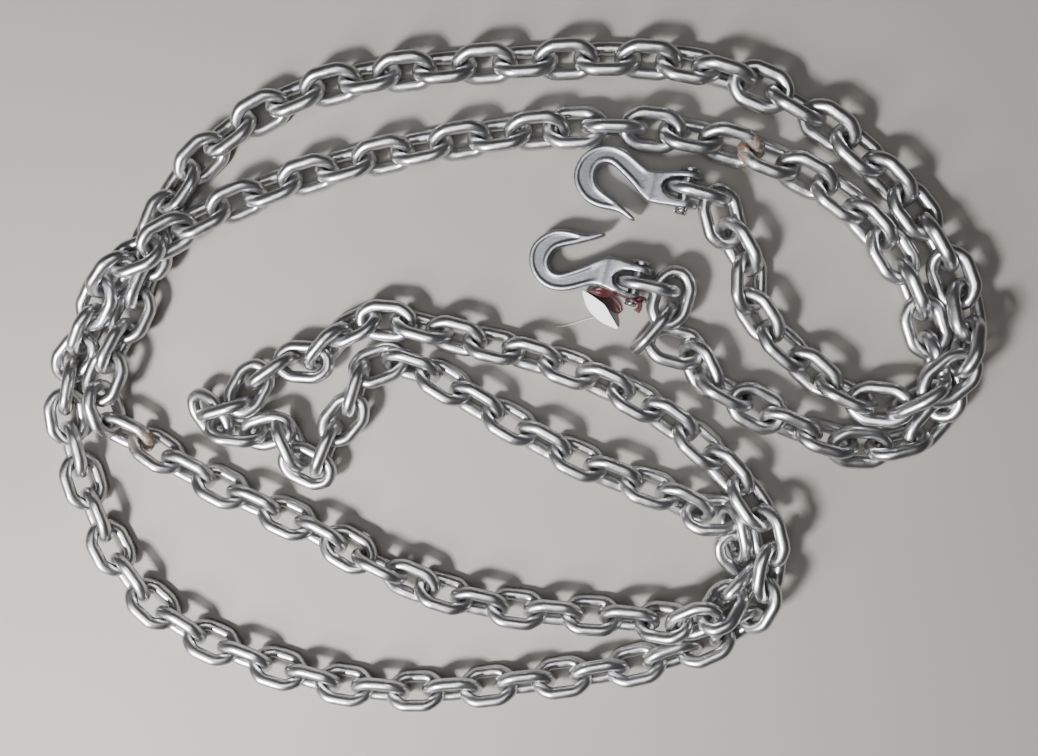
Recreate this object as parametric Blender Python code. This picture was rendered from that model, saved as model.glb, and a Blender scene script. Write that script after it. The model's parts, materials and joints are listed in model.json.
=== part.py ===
"""A heap of steel chain, doubled and laid down loosely, with a clevis grab hook on each end.

Metres, +Z up. The chain's route is seen from above: +X runs right, +Y runs to the far side.
"""

import math

import bmesh
import bpy
import numpy as np
from mathutils import Matrix, Vector

MM = 0.001

# Chain: 10 mm wire bent into links of 31 mm inside length, in millimetres
WIRE = 5.05
LINK_HALF_LENGTH = 20.5
LINK_HALF_WIDTH = 12.5
# Where a link's straight side ends along it, and half of the flat at its end
LINK_CORNER = (9.5, 4.2)
WIRE_SIDES = 6
# Distance between the bar centres of two links: taut inside a run, and loose between runs
TAUT = 9.3
LOOSE = 10.5
# How far a loose link may slide back and sideways in its neighbour
SLACK = 8.0
SIDE_PLAY = 4.5
# Gap between two wires: they sink into each other inside a run, and stay apart everywhere else
SUNK = -0.8
CLEAR = 0.65
# Settling: number of turns, pull towards the route, and the share of both pulls left in the late turns
TURNS = 1000
PULL = 0.03
LATE = 0.65
EASE = 0.1
LAST_PULL = 0.04

# One row per point of the route: link number, x, y, lift above the floor chain, twist in degrees
ROUTE = [
    (0, 156, 154, 0, 45), (2, 190, 113, 0, 15), (4, 205, 62, 0, 0), (6, 247, 20, 1, 0),
    (8, 294, -12, 2, -45), (9, 319, -3, 9, -45), (10, 336, 12, 20, -45), (11, 360, 34, 10, -38),
    (12, 363, 61, 3, -12), (13, 354, 89, 0, 14), (15, 323, 141, 0, 66), (18, 255, 207, 0, 90),
    (20, 204, 237, 0, 130), (22, 148, 256, 0, 172), (25, 53, 256, 0, 180), (28, -37, 252, 0, 180),
    (31, -130, 244, 0, 180), (33, -188, 223, 0, 180), (35, -237, 191, 0, 180),
    (37, -279, 144, 0, 165), (38, -290, 110, -8, 140), (39, -292, 82, 0, 135),
    (40, -302, 54, 0, 135), (41, -320, 26, 4, 135), (42, -330, 0, 10, 140),
    (43, -331, -25, 3, 155), (44, -306, -40, 0, 170), (47, -233, -82, 0, 180),
    (50, -149, -119, 0, 182), (52, -96, -147, 0, 218), (54, -41, -170, 0, 262),
    (56, 20, -181, 0, 270), (59, 109, -184, 0, 270), (60, 135, -184, 7, 270),
    (61, 165, -184, 22, 247), (62, 190, -168, 22, 267), (63, 209, -148, 8, 292),
    (64, 209, -123, 0, 318), (65, 198, -107, 0, 341), (67, 154, -87, 0, 360),
    (70, 67, -54, 0, 360), (73, -14, -9, 0, 360), (75, -68, 22, 0, 355), (76, -96, 22, 0, 338),
    (77, -111, 1, 0, 315), (79, -137, -48, 0, 315), (80, -156, -63, 0, 315),
    (81, -166, -44, 0, 305), (82, -188, -34, 0, 290), (83, -212, -36, 0, 285),
    (84, -238, -22, 0, 292), (85, -218, -17, 6, 315), (86, -202, 2, 2, 315),
    (88, -156, 24, 0, 312), (89, -136, 31, 0, 293), (90, -121, 53, 0, 266), (91, -89, 60, 0, 242),
    (93, -34, 44, 0, 260), (95, 27, 32, 0, 270), (98, 113, 0, 0, 270), (100, 163, -33, 0, 270),
    (102, 207, -76, 3, 270), (103, 222, -106, 14, 270), (104, 231, -130, 20, 270),
    (105, 219, -163, 14, 270), (106, 203, -195, -2, 270), (108, 143, -222, 0, 270),
    (112, 26, -243, 0, 270), (116, -98, -261, 0, 270), (120, -221, -232, 0, 270),
    (123, -301, -192, 0, 270), (125, -334, -138, 0, 270), (128, -360, -48, 0, 270),
    (129, -366, -22, -3, 270), (130, -356, 2, -4, 250), (131, -354, 19, -3, 225),
    (132, -337, 42, 0, 225), (133, -326, 67, 4, 214), (134, -307, 92, 12, 202),
    (135, -280, 111, 18, 191), (136, -263, 126, 9, 180), (139, -179, 165, 0, 180),
    (142, -89, 187, 0, 180), (146, 34, 206, 0, 180), (148, 93, 209, 0, 228),
    (150, 155, 203, 0, 268), (153, 244, 171, 0, 270), (155, 293, 135, 0, 285),
    (157, 322, 80, 0, 313), (159, 342, 27, -6, 318), (160, 360, -9, -6, 345),
    (161, 344, -31, -2, 375), (163, 288, -40, 0, 396), (164, 258, -36, 0, 371),
    (166, 198, -7, 0, 320),
    (168, 157, 23, 0, 268), (169, 143, 42, 0, 245), (170, 128, 60, 0, 228), (171, 146, 79, 8, 226),
    (172, 122, 87, 0, 225),
]
# A link that sticks out of the route: its heading, and where along it the link before and after hold it
STRAY = {84: (122, 0.0, 0.36), 131: (0, 0.45, 1.0), 170: (47, 0.45, 1.0), 171: (88, 0.0, 0.6)}
STRAY_PLAY = 7.0
# The last link before each joint where the chain folds back on itself
FOLDS = [79, 80]
# First link of each run: the links of a run are one body
RUN_STARTS = [
    0, 2, 3, 5, 8, 10, 11, 13, 18, 22, 30, 38, 39, 40, 42, 51, 61, 62, 65, 67, 76, 78, 80, 81,
    83, 84, 85, 87, 89, 90, 93, 98, 103, 106, 108, 118, 128, 130, 131, 132, 133, 136, 146, 156,
    159, 160, 164, 168, 170, 171, 172,
]
LINKS = 173

# Grab hook, in millimetres from its pin: X along the shank, Y towards the tine, Z its thickness
BODY = [
    (21, -8.7), (30, -9.2), (37, -12.3), (45, -16.8), (52, -19.8), (60.5, -21.3), (69, -20),
    (77, -15.6), (83.3, -8), (86, 1.5), (84.8, 10), (79.5, 17.8), (71.5, 23.8), (61.5, 26.3),
    (50, 26.4), (43.5, 27.4), (37, 30.2), (33.4, 31), (32.8, 29), (39.5, 24.4), (50, 18.6),
    (62.5, 12.6), (67.4, 8.4), (69.6, 2), (68.8, -3.2), (65.5, -6.6), (61, -7.6), (56.8, -6.4),
    (49.6, -2.1), (39, 5.1), (32, 11), (24.7, 15), (20.5, 12), (19.6, 3), (19.4, 0.5), (19.6, -4),
]
EARS = [
    (-11.5, -13.4), (0, -12.8), (10, -11.2), (21, -9.1), (27, -8.4), (27, 13), (24, 14.6),
    (18, 14.6), (8, 14.2), (-4, 13.7), (-11.5, 13.3), (-11.5, 8.4), (4, 8.7), (11, 7.6),
    (16, 4.7), (18.3, 0.5), (16.6, -3.9), (11.5, -7), (4, -8.4), (-11.5, -8.7),
]
EAR_SIDE = [
    (0, 11.5), (-4.9, 10.4), (-8.8, 7.4), (-11.1, 3), (-11.3, -2), (-9.4, -6.6), (-5.7, -10),
    (0, -11.5), (8, -10.7), (27, -7.4), (27, 7.4), (8, 10.7),
]
HALF_THICK = 8.0
HALF_EARS = 14.0
RIM = 2.5
# Y of the ears' outer faces at the pin, and the lean that brings the hook's nose to the floor
EAR_OUTSIDE = (-13.25, 14.1)
HOOK_TILT = 6.2
# Clevis pin: its radius, height, play in the bore, and distance to the middle of the link's bar
PIN_RADIUS = 4.75
PIN_HEIGHT = 17.8
PIN_PLAY = 0.35
PIN_TO_WIRE = 10.6
HEAD = (7.3, 3.4)
HEAD_PLAY = 0.3
TAIL = 4.9
# Split pin through the clevis pin's tail: its radius, half its length, its eye and its two bent legs
SPLIT_RADIUS = 1.3
SPLIT_IN_TAIL = 2.4
SPLIT_HALF = 7.0
SPLIT_WIRE = 1.1
EYE_RADIUS = 3.0
EYE_HEIGHT = 8.6
LEG_SPREAD = 4.6
# A cutter reaches past whatever it cuts
PAST = 30

# Pin place, way from the pin to the hook in degrees, which way up, which side the pin's head is on
HOOK_A = {"pin": (147.3, 157.3), "way": 167.8, "up": 1, "head": -1}
HOOK_B = {"pin": (111.0, 86.7), "way": 165.5, "up": -1, "head": 1}
# Heading of the first link, away from hook A, and of the last link, towards hook B
FIRST_LINK_WAY = 344.3
LAST_LINK_WAY = 168.0

# Tag: lower edge and top edge of the card from one tip to the other
TAG_LOW = [
    (69.4, 78.8, 4.4), (70.6, 74.2, 1.2), (72.8, 67.6, 0.6), (77.8, 60.9, 0.6), (85.8, 54.6, 0.6),
    (96.4, 49.9, 0.6),
]
TAG_TOP = [
    (69.9, 80.4, 7.6), (75.4, 77.6, 10), (81.5, 73.6, 11.3), (87.2, 69.0, 11), (91.2, 62.2, 8.5),
    (97.6, 51.2, 2.2),
]
TAG_THICK = 0.7
# Ribbon: middle of the strip and half its width, from its free end to where it lies over the clevis
RIBBON = [
    (99.5, 63, 1.2, 1.5), (96, 67, 1.8, 3.6), (91.5, 71.5, 2.4, 4.2), (86, 75, 3.2, 3.4),
    (80.5, 77.2, 4.6, 2.2), (75.6, 77.9, 7.5, 1.0), (76.8, 79.6, 9.6, 1.2), (81, 80.2, 10.4, 2.6),
    (85.4, 79.6, 12.6, 3.2), (88.6, 79, 17.5, 2.6), (91.4, 79, 23.5, 1.7), (94.6, 79, 29, 1.3),
    (98.4, 78.2, 31, 1.2), (103, 76.6, 31.6, 1.2), (107.2, 75.1, 31.9, 1.2),
]
RIBBON_THICK = 0.9
THREAD = [
    (78.8, 59.2), (76.6, 58.6), (74.2, 58), (71.5, 57.3), (69, 56.5), (66.6, 55.6), (64.3, 54.8),
    (61.6, 53.9), (59, 53.2), (56.3, 52.4), (53.6, 51.9), (50.8, 51.6), (48.3, 51.5),
]
THREAD_RADIUS = 0.6


def route_values():
    """Centre of each link in millimetres, without its floor height, and each link's twist."""
    rows = np.array(ROUTE, float)
    at = rows[:, 0]
    slope = np.empty_like(rows[:, 1:4])
    slope[1:-1] = (rows[2:, 1:4] - rows[:-2, 1:4]) / (at[2:] - at[:-2])[:, None]
    slope[0] = (rows[1, 1:4] - rows[0, 1:4]) / (at[1] - at[0])
    slope[-1] = (rows[-1, 1:4] - rows[-2, 1:4]) / (at[-1] - at[-2])
    number = np.arange(LINKS, dtype=float)
    k = np.clip(np.searchsorted(at, number, side="right") - 1, 0, len(at) - 2)
    span = (at[k + 1] - at[k])[:, None]
    t = (number - at[k])[:, None] / span
    centre = (
        (2 * t**3 - 3 * t**2 + 1) * rows[k, 1:4]
        + (t**3 - 2 * t**2 + t) * span * slope[k]
        + (3 * t**2 - 2 * t**3) * rows[k + 1, 1:4]
        + (t**3 - t**2) * span * slope[k + 1]
    )
    return centre, np.interp(number, at, rows[:, 4])


def unit(v):
    return v / np.linalg.norm(v, axis=-1, keepdims=True)


def link_axes(along, roll):
    """Unit vectors of each link: along it, across it in its own plane, and square to that plane."""
    along = unit(along)
    left = unit(np.cross([0.0, 0.0, 1.0], along))
    up = np.cross(along, left)
    c, s = np.cos(roll)[:, None], np.sin(roll)[:, None]
    return along, left * c + up * s, up * c - left * s


def ring_corners():
    """Centre line of one link's wire, anticlockwise in its plane."""
    x, y = LINK_CORNER
    h, w = LINK_HALF_LENGTH, LINK_HALF_WIDTH
    half = [(h, -y), (h, y), (x, w), (-x, w)]
    return np.array(half + [(-a, -b) for a, b in half])


def ring_in_space(centre, axes):
    corners = ring_corners()
    along, across, _ = axes
    return (
        centre[:, None]
        + corners[None, :, :1] * along[:, None]
        + corners[None, :, 1:] * across[:, None]
    )


def nearest(first, second):
    """Closest points of each two wire centre lines: on the first, and the way from it to the second."""
    steps = np.linspace(0, 1, 7)[:-1, None]
    edge = np.roll(first, -1, axis=1) - first
    points = (first[:, :, None] + edge[:, :, None] * steps).reshape(len(first), -1, 3)
    d = np.roll(second, -1, axis=1) - second
    rel = points[:, :, None] - second[:, None]
    t = np.clip((rel * d[:, None]).sum(-1) / (d * d).sum(-1)[:, None], 0, 1)
    away = t[..., None] * d[:, None] - rel
    flat = np.linalg.norm(away, axis=-1).reshape(len(first), -1).argmin(1)
    row, column = np.divmod(flat, d.shape[1])
    pair = np.arange(len(first))
    return points[pair, row], away[pair, row, column]


def gap_between(way, square, first, second):
    """Gap between two wires whose centre lines are that way apart, and the length of that way."""
    width = np.linalg.norm(way, axis=-1)
    return width - half_wire(way, square[first]) - half_wire(way, square[second]), width


def half_wire(way, square):
    """How far a many-sided wire reaches from its centre line in a direction across it."""
    lift = abs((unit(way) * square).sum(-1))
    side = math.pi / WIRE_SIDES
    return WIRE * np.cos((np.arcsin(np.minimum(lift, 1)) + side) % (2 * side) - side)


def push(a, b, at, shift, links):
    """Moves the ends of each link so that its point at that place shifts by that much."""
    line = b[links] - a[links]
    share = np.clip(((at - a[links]) * line).sum(1) / (line * line).sum(1), 0, 1)[:, None]
    whole = share**2 + (1 - share) ** 2
    np.add.at(a, links, shift * (1 - share) / whole)
    np.add.at(b, links, shift * share / whole)


def settle_links(start_pin, end_pin):
    """Lays the links along the route so that each sits in its neighbours and on what lies below it.

    Inside a run the wires meet. Everywhere else they stay apart.
    """
    target, twist = route_values()
    twist = np.radians(twist)
    roll = twist + np.where(np.arange(LINKS) % 2, -1, 1) * math.pi / 4
    target[:, 2] += 5 + LINK_HALF_WIDTH * np.maximum(
        abs(np.sin(twist + math.pi / 4)), abs(np.sin(twist - math.pi / 4))
    )
    joined = ~np.isin(np.arange(1, LINKS), RUN_STARTS)
    reach = np.where(joined, TAUT, LOOSE)
    along = unit(np.gradient(target, axis=0))
    before, after = np.zeros(LINKS), np.ones(LINKS)
    for i, (heading, first, last) in STRAY.items():
        along[i] = math.cos(math.radians(heading)), math.sin(math.radians(heading)), 0
        before[i], after[i] = first, last
    stray = list(STRAY)
    links = np.arange(LINKS)
    bent = np.array([after[i] < 1 or before[i + 1] > 0 or i in FOLDS for i in range(LINKS - 1)])
    aim = along[stray]
    a, b = target - along * 15.5, target + along * 15.5
    for turn in range(TURNS):
        gap = np.concatenate([[LOOSE], reach, [LOOSE]])
        head, tail = LINK_HALF_LENGTH - gap[:-1] / 2, LINK_HALF_LENGTH - gap[1:] / 2
        axes = link_axes(b - a, roll)
        centre = a + axes[0] * head[:, None]
        rings = ring_in_space(centre, axes)
        if turn % 20 == 0:
            apart = np.linalg.norm(centre[:, None] - centre[None], axis=-1)
            one, two = np.nonzero(np.triu(apart < 2 * LINK_HALF_LENGTH + LOOSE, 1))
            free = ~((two == one + 1) & joined[np.minimum(one, LINKS - 2)])
            one, two = one[free], two[free]
        if turn % 15 == 14:
            gap_now, _ = gap_between(nearest(rings[:-1], rings[1:])[1], axes[2], links[:-1], links[1:])
            tight = np.clip(reach + np.clip(SUNK - gap_now, -0.5, 0.5), 7, 12)
            roomy = np.clip(reach + np.clip(CLEAR - gap_now, -0.1, 0.8), 9, 15)
            reach = np.where(joined, tight, np.where(bent, LOOSE, roomy))
        late = turn > LATE * TURNS
        pull = PULL * (LAST_PULL if late else 1 - turn / TURNS)
        a += pull * (target - centre)
        b += pull * (target - centre)
        turned = pull * (aim * 15.5 - (b - a)[stray] / 2)
        a[stray] -= turned
        b[stray] += turned
        at, way = nearest(rings[one], rings[two])
        space, width = gap_between(way, axes[2], one, two)
        closing = np.where((two == one + 1) & late, -1, 0)
        shift = way * (np.clip(CLEAR - space, closing, 3) * 0.5 / width)[:, None]
        push(a, b, at, -shift, one)
        push(a, b, at + way, shift, two)
        low = rings[:, :, 2] - half_wire(np.array([0.0, 0.0, 1.0]), axes[2])[:, None]
        a[:, 2] += np.clip(-low[:, [3, 4, 5, 6]].min(1), 0, 3) * 0.5
        b[:, 2] += np.clip(-low[:, [7, 0, 1, 2]].min(1), 0, 3) * 0.5
        hold = (a + after[:, None] * (b - a))[:-1]
        seat = (a + before[:, None] * (b - a))[1:]
        delta = seat - hold
        line = unit((b - a)[1:] + (b - a)[:-1])
        ahead = (delta * line).sum(1, keepdims=True)
        side = delta - ahead * line
        width = np.linalg.norm(side, axis=1, keepdims=True) + 1e-9
        give = (ahead - np.clip(ahead, -SLACK, 0)) * line
        give += side * np.maximum(0, 1 - SIDE_PLAY / width)
        width = np.linalg.norm(delta, axis=1, keepdims=True) + 1e-9
        give = np.where(bent[:, None], delta * np.maximum(0, 1 - STRAY_PLAY / width), give)
        give = np.where(joined[:, None], delta, give * (EASE if late else 1))
        push(a, b, hold, give / 2, links[:-1])
        push(a, b, seat, -give / 2, links[1:])
        length = np.linalg.norm(b - a, axis=1)
        fix = unit(b - a) * ((length - head - tail) / 2)[:, None]
        a, b = a + fix, b - fix
        for i, (middle, heading) in ((0, start_pin), (-1, end_pin)):
            a[i], b[i] = middle - heading * head[i], middle + heading * tail[i]
    axes = link_axes(b - a, roll)
    return a + axes[0] * head[:, None], axes


def material(name, colour, roughness, metallic=0.0):
    made = bpy.data.materials.new(name)
    made.use_nodes = True
    shader = made.node_tree.nodes["Principled BSDF"]
    shader.inputs["Base Color"].default_value = (*colour, 1)
    shader.inputs["Roughness"].default_value = roughness
    shader.inputs["Metallic"].default_value = metallic
    made.diffuse_color = (*colour, 1)
    return made


def mesh_object(name, points, faces, look=None, smooth=35):
    """Mesh object from points in millimetres, with its faces turned outwards."""
    mesh = bpy.data.meshes.new(name)
    mesh.from_pydata([tuple(float(v) * MM for v in p) for p in points], [], [list(f) for f in faces])
    work = bmesh.new()
    work.from_mesh(mesh)
    bmesh.ops.recalc_face_normals(work, faces=work.faces)
    work.to_mesh(mesh)
    work.free()
    obj = bpy.data.objects.new(name, mesh)
    bpy.context.scene.collection.objects.link(obj)
    if look:
        mesh.materials.append(look)
    finish_shading(mesh, smooth)
    return obj


def finish_shading(mesh, degrees):
    mesh.shade_smooth()
    mesh.set_sharp_from_angle(angle=math.radians(degrees))


def combine(base, others, operation):
    """Applies a Boolean of each other object to the base object, then removes those objects."""
    for other in others:
        other.hide_render = True
        other.display_type = "WIRE"
        cut = base.modifiers.new(other.name, "BOOLEAN")
        cut.operation = operation
        cut.solver = "EXACT"
        cut.object = other
    graph = bpy.context.evaluated_depsgraph_get()
    mesh = bpy.data.meshes.new_from_object(base.evaluated_get(graph))
    base.modifiers.clear()
    base.data = mesh
    for other in others:
        bpy.data.objects.remove(other)
    return base


def link_shell():
    """Points and faces of one link, in millimetres: its plane is X and Y, its length along X."""
    corners = ring_corners()
    count = len(corners)
    points, faces = [], []
    for k, corner in enumerate(corners):
        came = unit(corner - corners[k - 1])
        goes = unit(corners[(k + 1) % count] - corner)
        out = unit(np.array([came[1] + goes[1], -came[0] - goes[0]]))
        stretch = ((1 + came @ goes) / 2) ** -0.25
        for side in range(WIRE_SIDES):
            angle = math.tau * side / WIRE_SIDES
            x, y = corner + out * stretch * WIRE * math.cos(angle)
            points.append((x, y, WIRE * math.sin(angle)))
            turn = (side + 1) % WIRE_SIDES
            after = (k + 1) % count * WIRE_SIDES
            here = k * WIRE_SIDES
            faces.append((here + side, here + turn, after + turn, after + side))
    return np.array(points), faces


def build_chain(steel, start_pin, end_pin):
    centre, (along, across, square) = settle_links(start_pin, end_pin)
    points, faces = link_shell()
    for number, first in enumerate(RUN_STARTS, 1):
        last = (RUN_STARTS + [LINKS])[number]
        name = f"chain_run_{number:02d}"
        links = []
        for i in range(first, last):
            world = points[:, :1] * along[i] + points[:, 1:2] * across[i] + points[:, 2:] * square[i]
            links.append(mesh_object(name, world + centre[i] - centre[first], faces, steel))
        run = links[0]
        if len(links) > 1:
            combine(run, links[1:], "UNION")
        run.name = run.data.name = name
        run.location = centre[first] * MM
        finish_shading(run.data, 35)


def prism(name, outline, low, high, look=None, upright=False, chamfer=0.0):
    """Outline extruded along Z, or along Y when upright, where the outline is in X and Z."""
    count = len(outline)
    if upright:
        points = [(x, level, z) for level in (low, high) for x, z in outline]
    else:
        points = [(x, y, level) for level in (low, high) for x, y in outline]
    faces = [tuple(range(count)), tuple(range(count, 2 * count))]
    faces += [(k, (k + 1) % count, (k + 1) % count + count, k + count) for k in range(count)]
    obj = mesh_object(name, points, faces, look)
    if chamfer:
        work = bmesh.new()
        work.from_mesh(obj.data)
        rim = [
            e for e in work.edges
            if abs(e.verts[0].co.z - e.verts[1].co.z) < 1e-6
        ]
        bmesh.ops.bevel(work, geom=rim, offset=chamfer * MM, segments=1, affect="EDGES")
        work.to_mesh(obj.data)
        work.free()
    return obj


def rod(name, radius, start, end, look=None, sides=12):
    """Closed cylinder between two points, in millimetres."""
    start, end = Vector(start), Vector(end)
    turn = (end - start).to_track_quat("Z", "Y").to_matrix()
    ring = [math.tau * (k + 0.5) / sides for k in range(sides)]
    points = [
        base + turn @ Vector((radius * math.cos(a), radius * math.sin(a), 0))
        for base in (start, end)
        for a in ring
    ]
    faces = [tuple(range(sides)), tuple(range(sides, 2 * sides))]
    faces += [(k, (k + 1) % sides, (k + 1) % sides + sides, k + sides) for k in range(sides)]
    return mesh_object(name, points, faces, look)


def hook_frame(hook, tilt=HOOK_TILT):
    """World matrix, in metres, at the hook's pin."""
    way = math.radians(hook["way"])
    x = Vector((math.cos(way), math.sin(way), 0))
    z = Vector((0, 0, hook["up"]))
    turn = Matrix((x, z.cross(x), z)).transposed().to_4x4()
    lean = Matrix.Rotation(math.radians(tilt) * hook["up"], 4, "Y")
    return Matrix.Translation(Vector((*hook["pin"], PIN_HEIGHT)) * MM) @ turn @ lean


def eye_point(cross, top, angle):
    """Place on the ring of a split pin's eye."""
    return (
        EYE_RADIUS * math.cos(angle), cross, top * (EYE_HEIGHT + EYE_RADIUS * math.sin(angle))
    )


def build_hook(suffix, hook, forged, bright):
    """The forged hook and, square to the floor, the clevis pin and split pin that stay in the link."""
    body = prism(f"grab_hook_{suffix}", BODY, -HALF_THICK, HALF_THICK, forged, chamfer=RIM)
    ears = prism("ears", EARS, -HALF_EARS, HALF_EARS)
    combine(ears, [prism("ear_side", EAR_SIDE, -PAST, PAST, upright=True)], "INTERSECT")
    bore = PIN_RADIUS + PIN_PLAY
    combine(body, [ears], "UNION")
    combine(body, [rod("bore", bore, (0, -PAST, 0), (0, PAST, 0))], "DIFFERENCE")
    body.matrix_world = hook_frame(hook)
    finish_shading(body.data, 30)

    level = hook_frame(hook, 0)
    side = hook["head"]
    near, far = (EAR_OUTSIDE if side < 0 else EAR_OUTSIDE[::-1])
    head_end, tail_end = near + side * (HEAD_PLAY + HEAD[1]), far - side * TAIL
    pin = rod(f"clevis_pin_{suffix}", PIN_RADIUS, (0, head_end, 0), (0, tail_end, 0), bright)
    combine(
        pin,
        [rod("pin_head", HEAD[0], (0, head_end, 0), (0, near + side * HEAD_PLAY, 0), sides=16)],
        "UNION",
    )
    cross = far - side * SPLIT_IN_TAIL
    hole = SPLIT_RADIUS + HEAD_PLAY
    combine(pin, [rod("hole", hole, (0, cross, -PAST), (0, cross, PAST), sides=8)], "DIFFERENCE")
    pin.matrix_world = level
    finish_shading(pin.data, 30)

    top = hook["up"]
    split = rod(
        f"split_pin_{suffix}", SPLIT_RADIUS,
        (0, cross, -SPLIT_HALF * top), (0, cross, SPLIT_HALF * top), bright, 8,
    )
    turns = [math.tau * k / 6 for k in range(6)]
    eye = [
        rod("eye", SPLIT_WIRE, eye_point(cross, top, a), eye_point(cross, top, a + 1.1), sides=6)
        for a in turns
    ]
    legs = [
        rod(
            "leg", SPLIT_WIRE, (0, cross, (1 - SPLIT_HALF) * top),
            (spread, cross, -EYE_HEIGHT * top), sides=6,
        )
        for spread in (-LEG_SPREAD, LEG_SPREAD)
    ]
    combine(split, eye + legs, "UNION")
    split.matrix_world = level
    finish_shading(split.data, 30)


def strip(name, first_edge, second_edge, thick, look):
    """Closed strip of even thickness between two edges, in millimetres."""
    one, two = np.array(first_edge, float), np.array(second_edge, float)
    count = len(one)
    middle = (one + two) / 2
    square = unit(np.cross(np.gradient(middle, axis=0), two - one)) * thick / 2
    rows = [one + square, two + square, two - square, one - square]
    faces = []
    for k in range(count - 1):
        for row in range(4):
            a, b = row * count + k, (row + 1) % 4 * count + k
            faces.append((a, b, b + 1, a + 1))
    for k in (0, count - 1):
        faces.append(tuple(row * count + k for row in range(4)))
    return mesh_object(name, np.concatenate(rows), faces, look, smooth=50)


def build_ribbon(red):
    rows = np.array(RIBBON, float)
    way = np.gradient(rows[:, :3], axis=0)
    side = unit(np.cross([0.0, 0.0, 1.0], way)) * rows[:, 3:]
    return strip("red_ribbon", rows[:, :3] + side, rows[:, :3] - side, RIBBON_THICK, red)


def tube(name, route, radius, look):
    """Cord that lies on the floor."""
    curve = bpy.data.curves.new(name, "CURVE")
    curve.dimensions = "3D"
    curve.bevel_depth = radius * MM
    curve.bevel_resolution = 2
    curve.use_fill_caps = True
    spline = curve.splines.new("POLY")
    spline.points.add(len(route) - 1)
    for point, (x, y) in zip(spline.points, route):
        point.co = (x * MM, y * MM, (radius + 0.15) * MM, 1)
    curve.materials.append(look)
    obj = bpy.data.objects.new(name, curve)
    bpy.context.scene.collection.objects.link(obj)
    return obj


def rest_on_origin():
    """Moves everything so that the lowest point is at Z = 0 and the middle of the heap at X = Y = 0."""
    bpy.context.view_layer.update()
    graph = bpy.context.evaluated_depsgraph_get()
    corners = np.array([
        obj.matrix_world @ corner
        for obj in bpy.data.objects
        for corner in (v.co for v in obj.evaluated_get(graph).to_mesh().vertices)
    ])
    low, high = corners.min(0), corners.max(0)
    shift = Vector(((low[0] + high[0]) / 2, (low[1] + high[1]) / 2, low[2]))
    for obj in bpy.data.objects:
        obj.location -= shift


def main():
    for obj in list(bpy.data.objects):
        bpy.data.objects.remove(obj)
    steel = material("bright_steel", (0.56, 0.56, 0.55), 0.36, 1.0)
    forged = material("forged_steel", (0.44, 0.45, 0.47), 0.42, 1.0)
    bright = material("pin_steel", (0.6, 0.6, 0.6), 0.3, 1.0)
    paper = material("white_paper", (0.86, 0.84, 0.84), 0.8)
    red = material("red_ribbon", (0.32, 0.03, 0.03), 0.55)
    thread = material("pale_thread", (0.74, 0.66, 0.6), 0.8)

    reach = LINK_HALF_LENGTH - PIN_TO_WIRE
    ends = []
    for hook, way, sign in ((HOOK_A, FIRST_LINK_WAY, 1), (HOOK_B, LAST_LINK_WAY, -1)):
        angle = math.radians(way)
        heading = np.array([math.cos(angle), math.sin(angle), 0.0])
        ends.append((np.array([*hook["pin"], PIN_HEIGHT]) + sign * reach * heading, heading))
    build_chain(steel, *ends)
    build_hook("a", HOOK_A, forged, bright)
    build_hook("b", HOOK_B, forged, bright)
    strip("paper_tag", TAG_LOW, TAG_TOP, TAG_THICK, paper)
    build_ribbon(red)
    tube("tag_thread", THREAD, THREAD_RADIUS, thread)
    rest_on_origin()


main()
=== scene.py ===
"""Steel chain, doubled and laid down loosely, with a clevis grab hook on each end.

Each operator in the sidebar's Chain panel makes one piece or one group of like pieces.
"""

import json
import math

import bmesh
import bpy
import numpy as np
from mathutils import Color, Matrix, Vector
from mathutils.geometry import delaunay_2d_cdt


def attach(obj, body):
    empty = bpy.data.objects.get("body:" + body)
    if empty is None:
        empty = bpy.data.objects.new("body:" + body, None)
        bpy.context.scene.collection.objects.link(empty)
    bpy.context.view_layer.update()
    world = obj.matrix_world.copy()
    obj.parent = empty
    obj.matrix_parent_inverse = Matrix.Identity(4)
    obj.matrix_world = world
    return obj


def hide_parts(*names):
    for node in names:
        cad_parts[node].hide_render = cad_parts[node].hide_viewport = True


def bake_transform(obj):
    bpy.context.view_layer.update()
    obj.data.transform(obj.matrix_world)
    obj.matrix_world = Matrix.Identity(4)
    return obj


bl_info = {
    "name": "Steel Chain and Grab Hooks",
    "version": (1, 0, 0),
    "blender": (4, 5, 0),
    "location": "3D View > Sidebar > Chain",
    "description": "Lays a length of steel chain with a grab hook, pin and split pin on each end",
    "category": "Object",
}

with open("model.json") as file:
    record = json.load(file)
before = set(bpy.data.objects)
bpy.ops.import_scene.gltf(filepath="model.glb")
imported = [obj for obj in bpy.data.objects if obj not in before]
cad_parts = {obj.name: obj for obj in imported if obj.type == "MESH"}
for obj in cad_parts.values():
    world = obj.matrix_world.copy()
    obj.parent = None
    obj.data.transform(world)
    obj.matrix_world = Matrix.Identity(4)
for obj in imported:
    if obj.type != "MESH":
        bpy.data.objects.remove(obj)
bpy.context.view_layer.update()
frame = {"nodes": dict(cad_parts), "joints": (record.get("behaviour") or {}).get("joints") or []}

MM = 0.001

# Chain: 10 mm wire bent into links of 31 mm inside length, in millimetres
WIRE = 5.05
LINK_HALF_LENGTH = 20.5
LINK_HALF_WIDTH = 12.5
HALF_PITCH = 15.5
# Height of the middle of a wire that lies on the floor
ON_FLOOR = 5
# Where a link's straight side ends along it, and half of the flat at its end
LINK_CORNER = (9.5, 4.2)
WIRE_SIDES = 6
# Distance between the bar centres of two links: taut inside a run, and loose between runs
TAUT = 9.3
LOOSE = 10.5
# How far a loose link may slide back and sideways in its neighbour
SLACK = 8.0
SIDE_PLAY = 4.5
# Gap between two wires: they sink into each other inside a run, and stay apart everywhere else
SUNK = -0.8
CLEAR = 0.65
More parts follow.
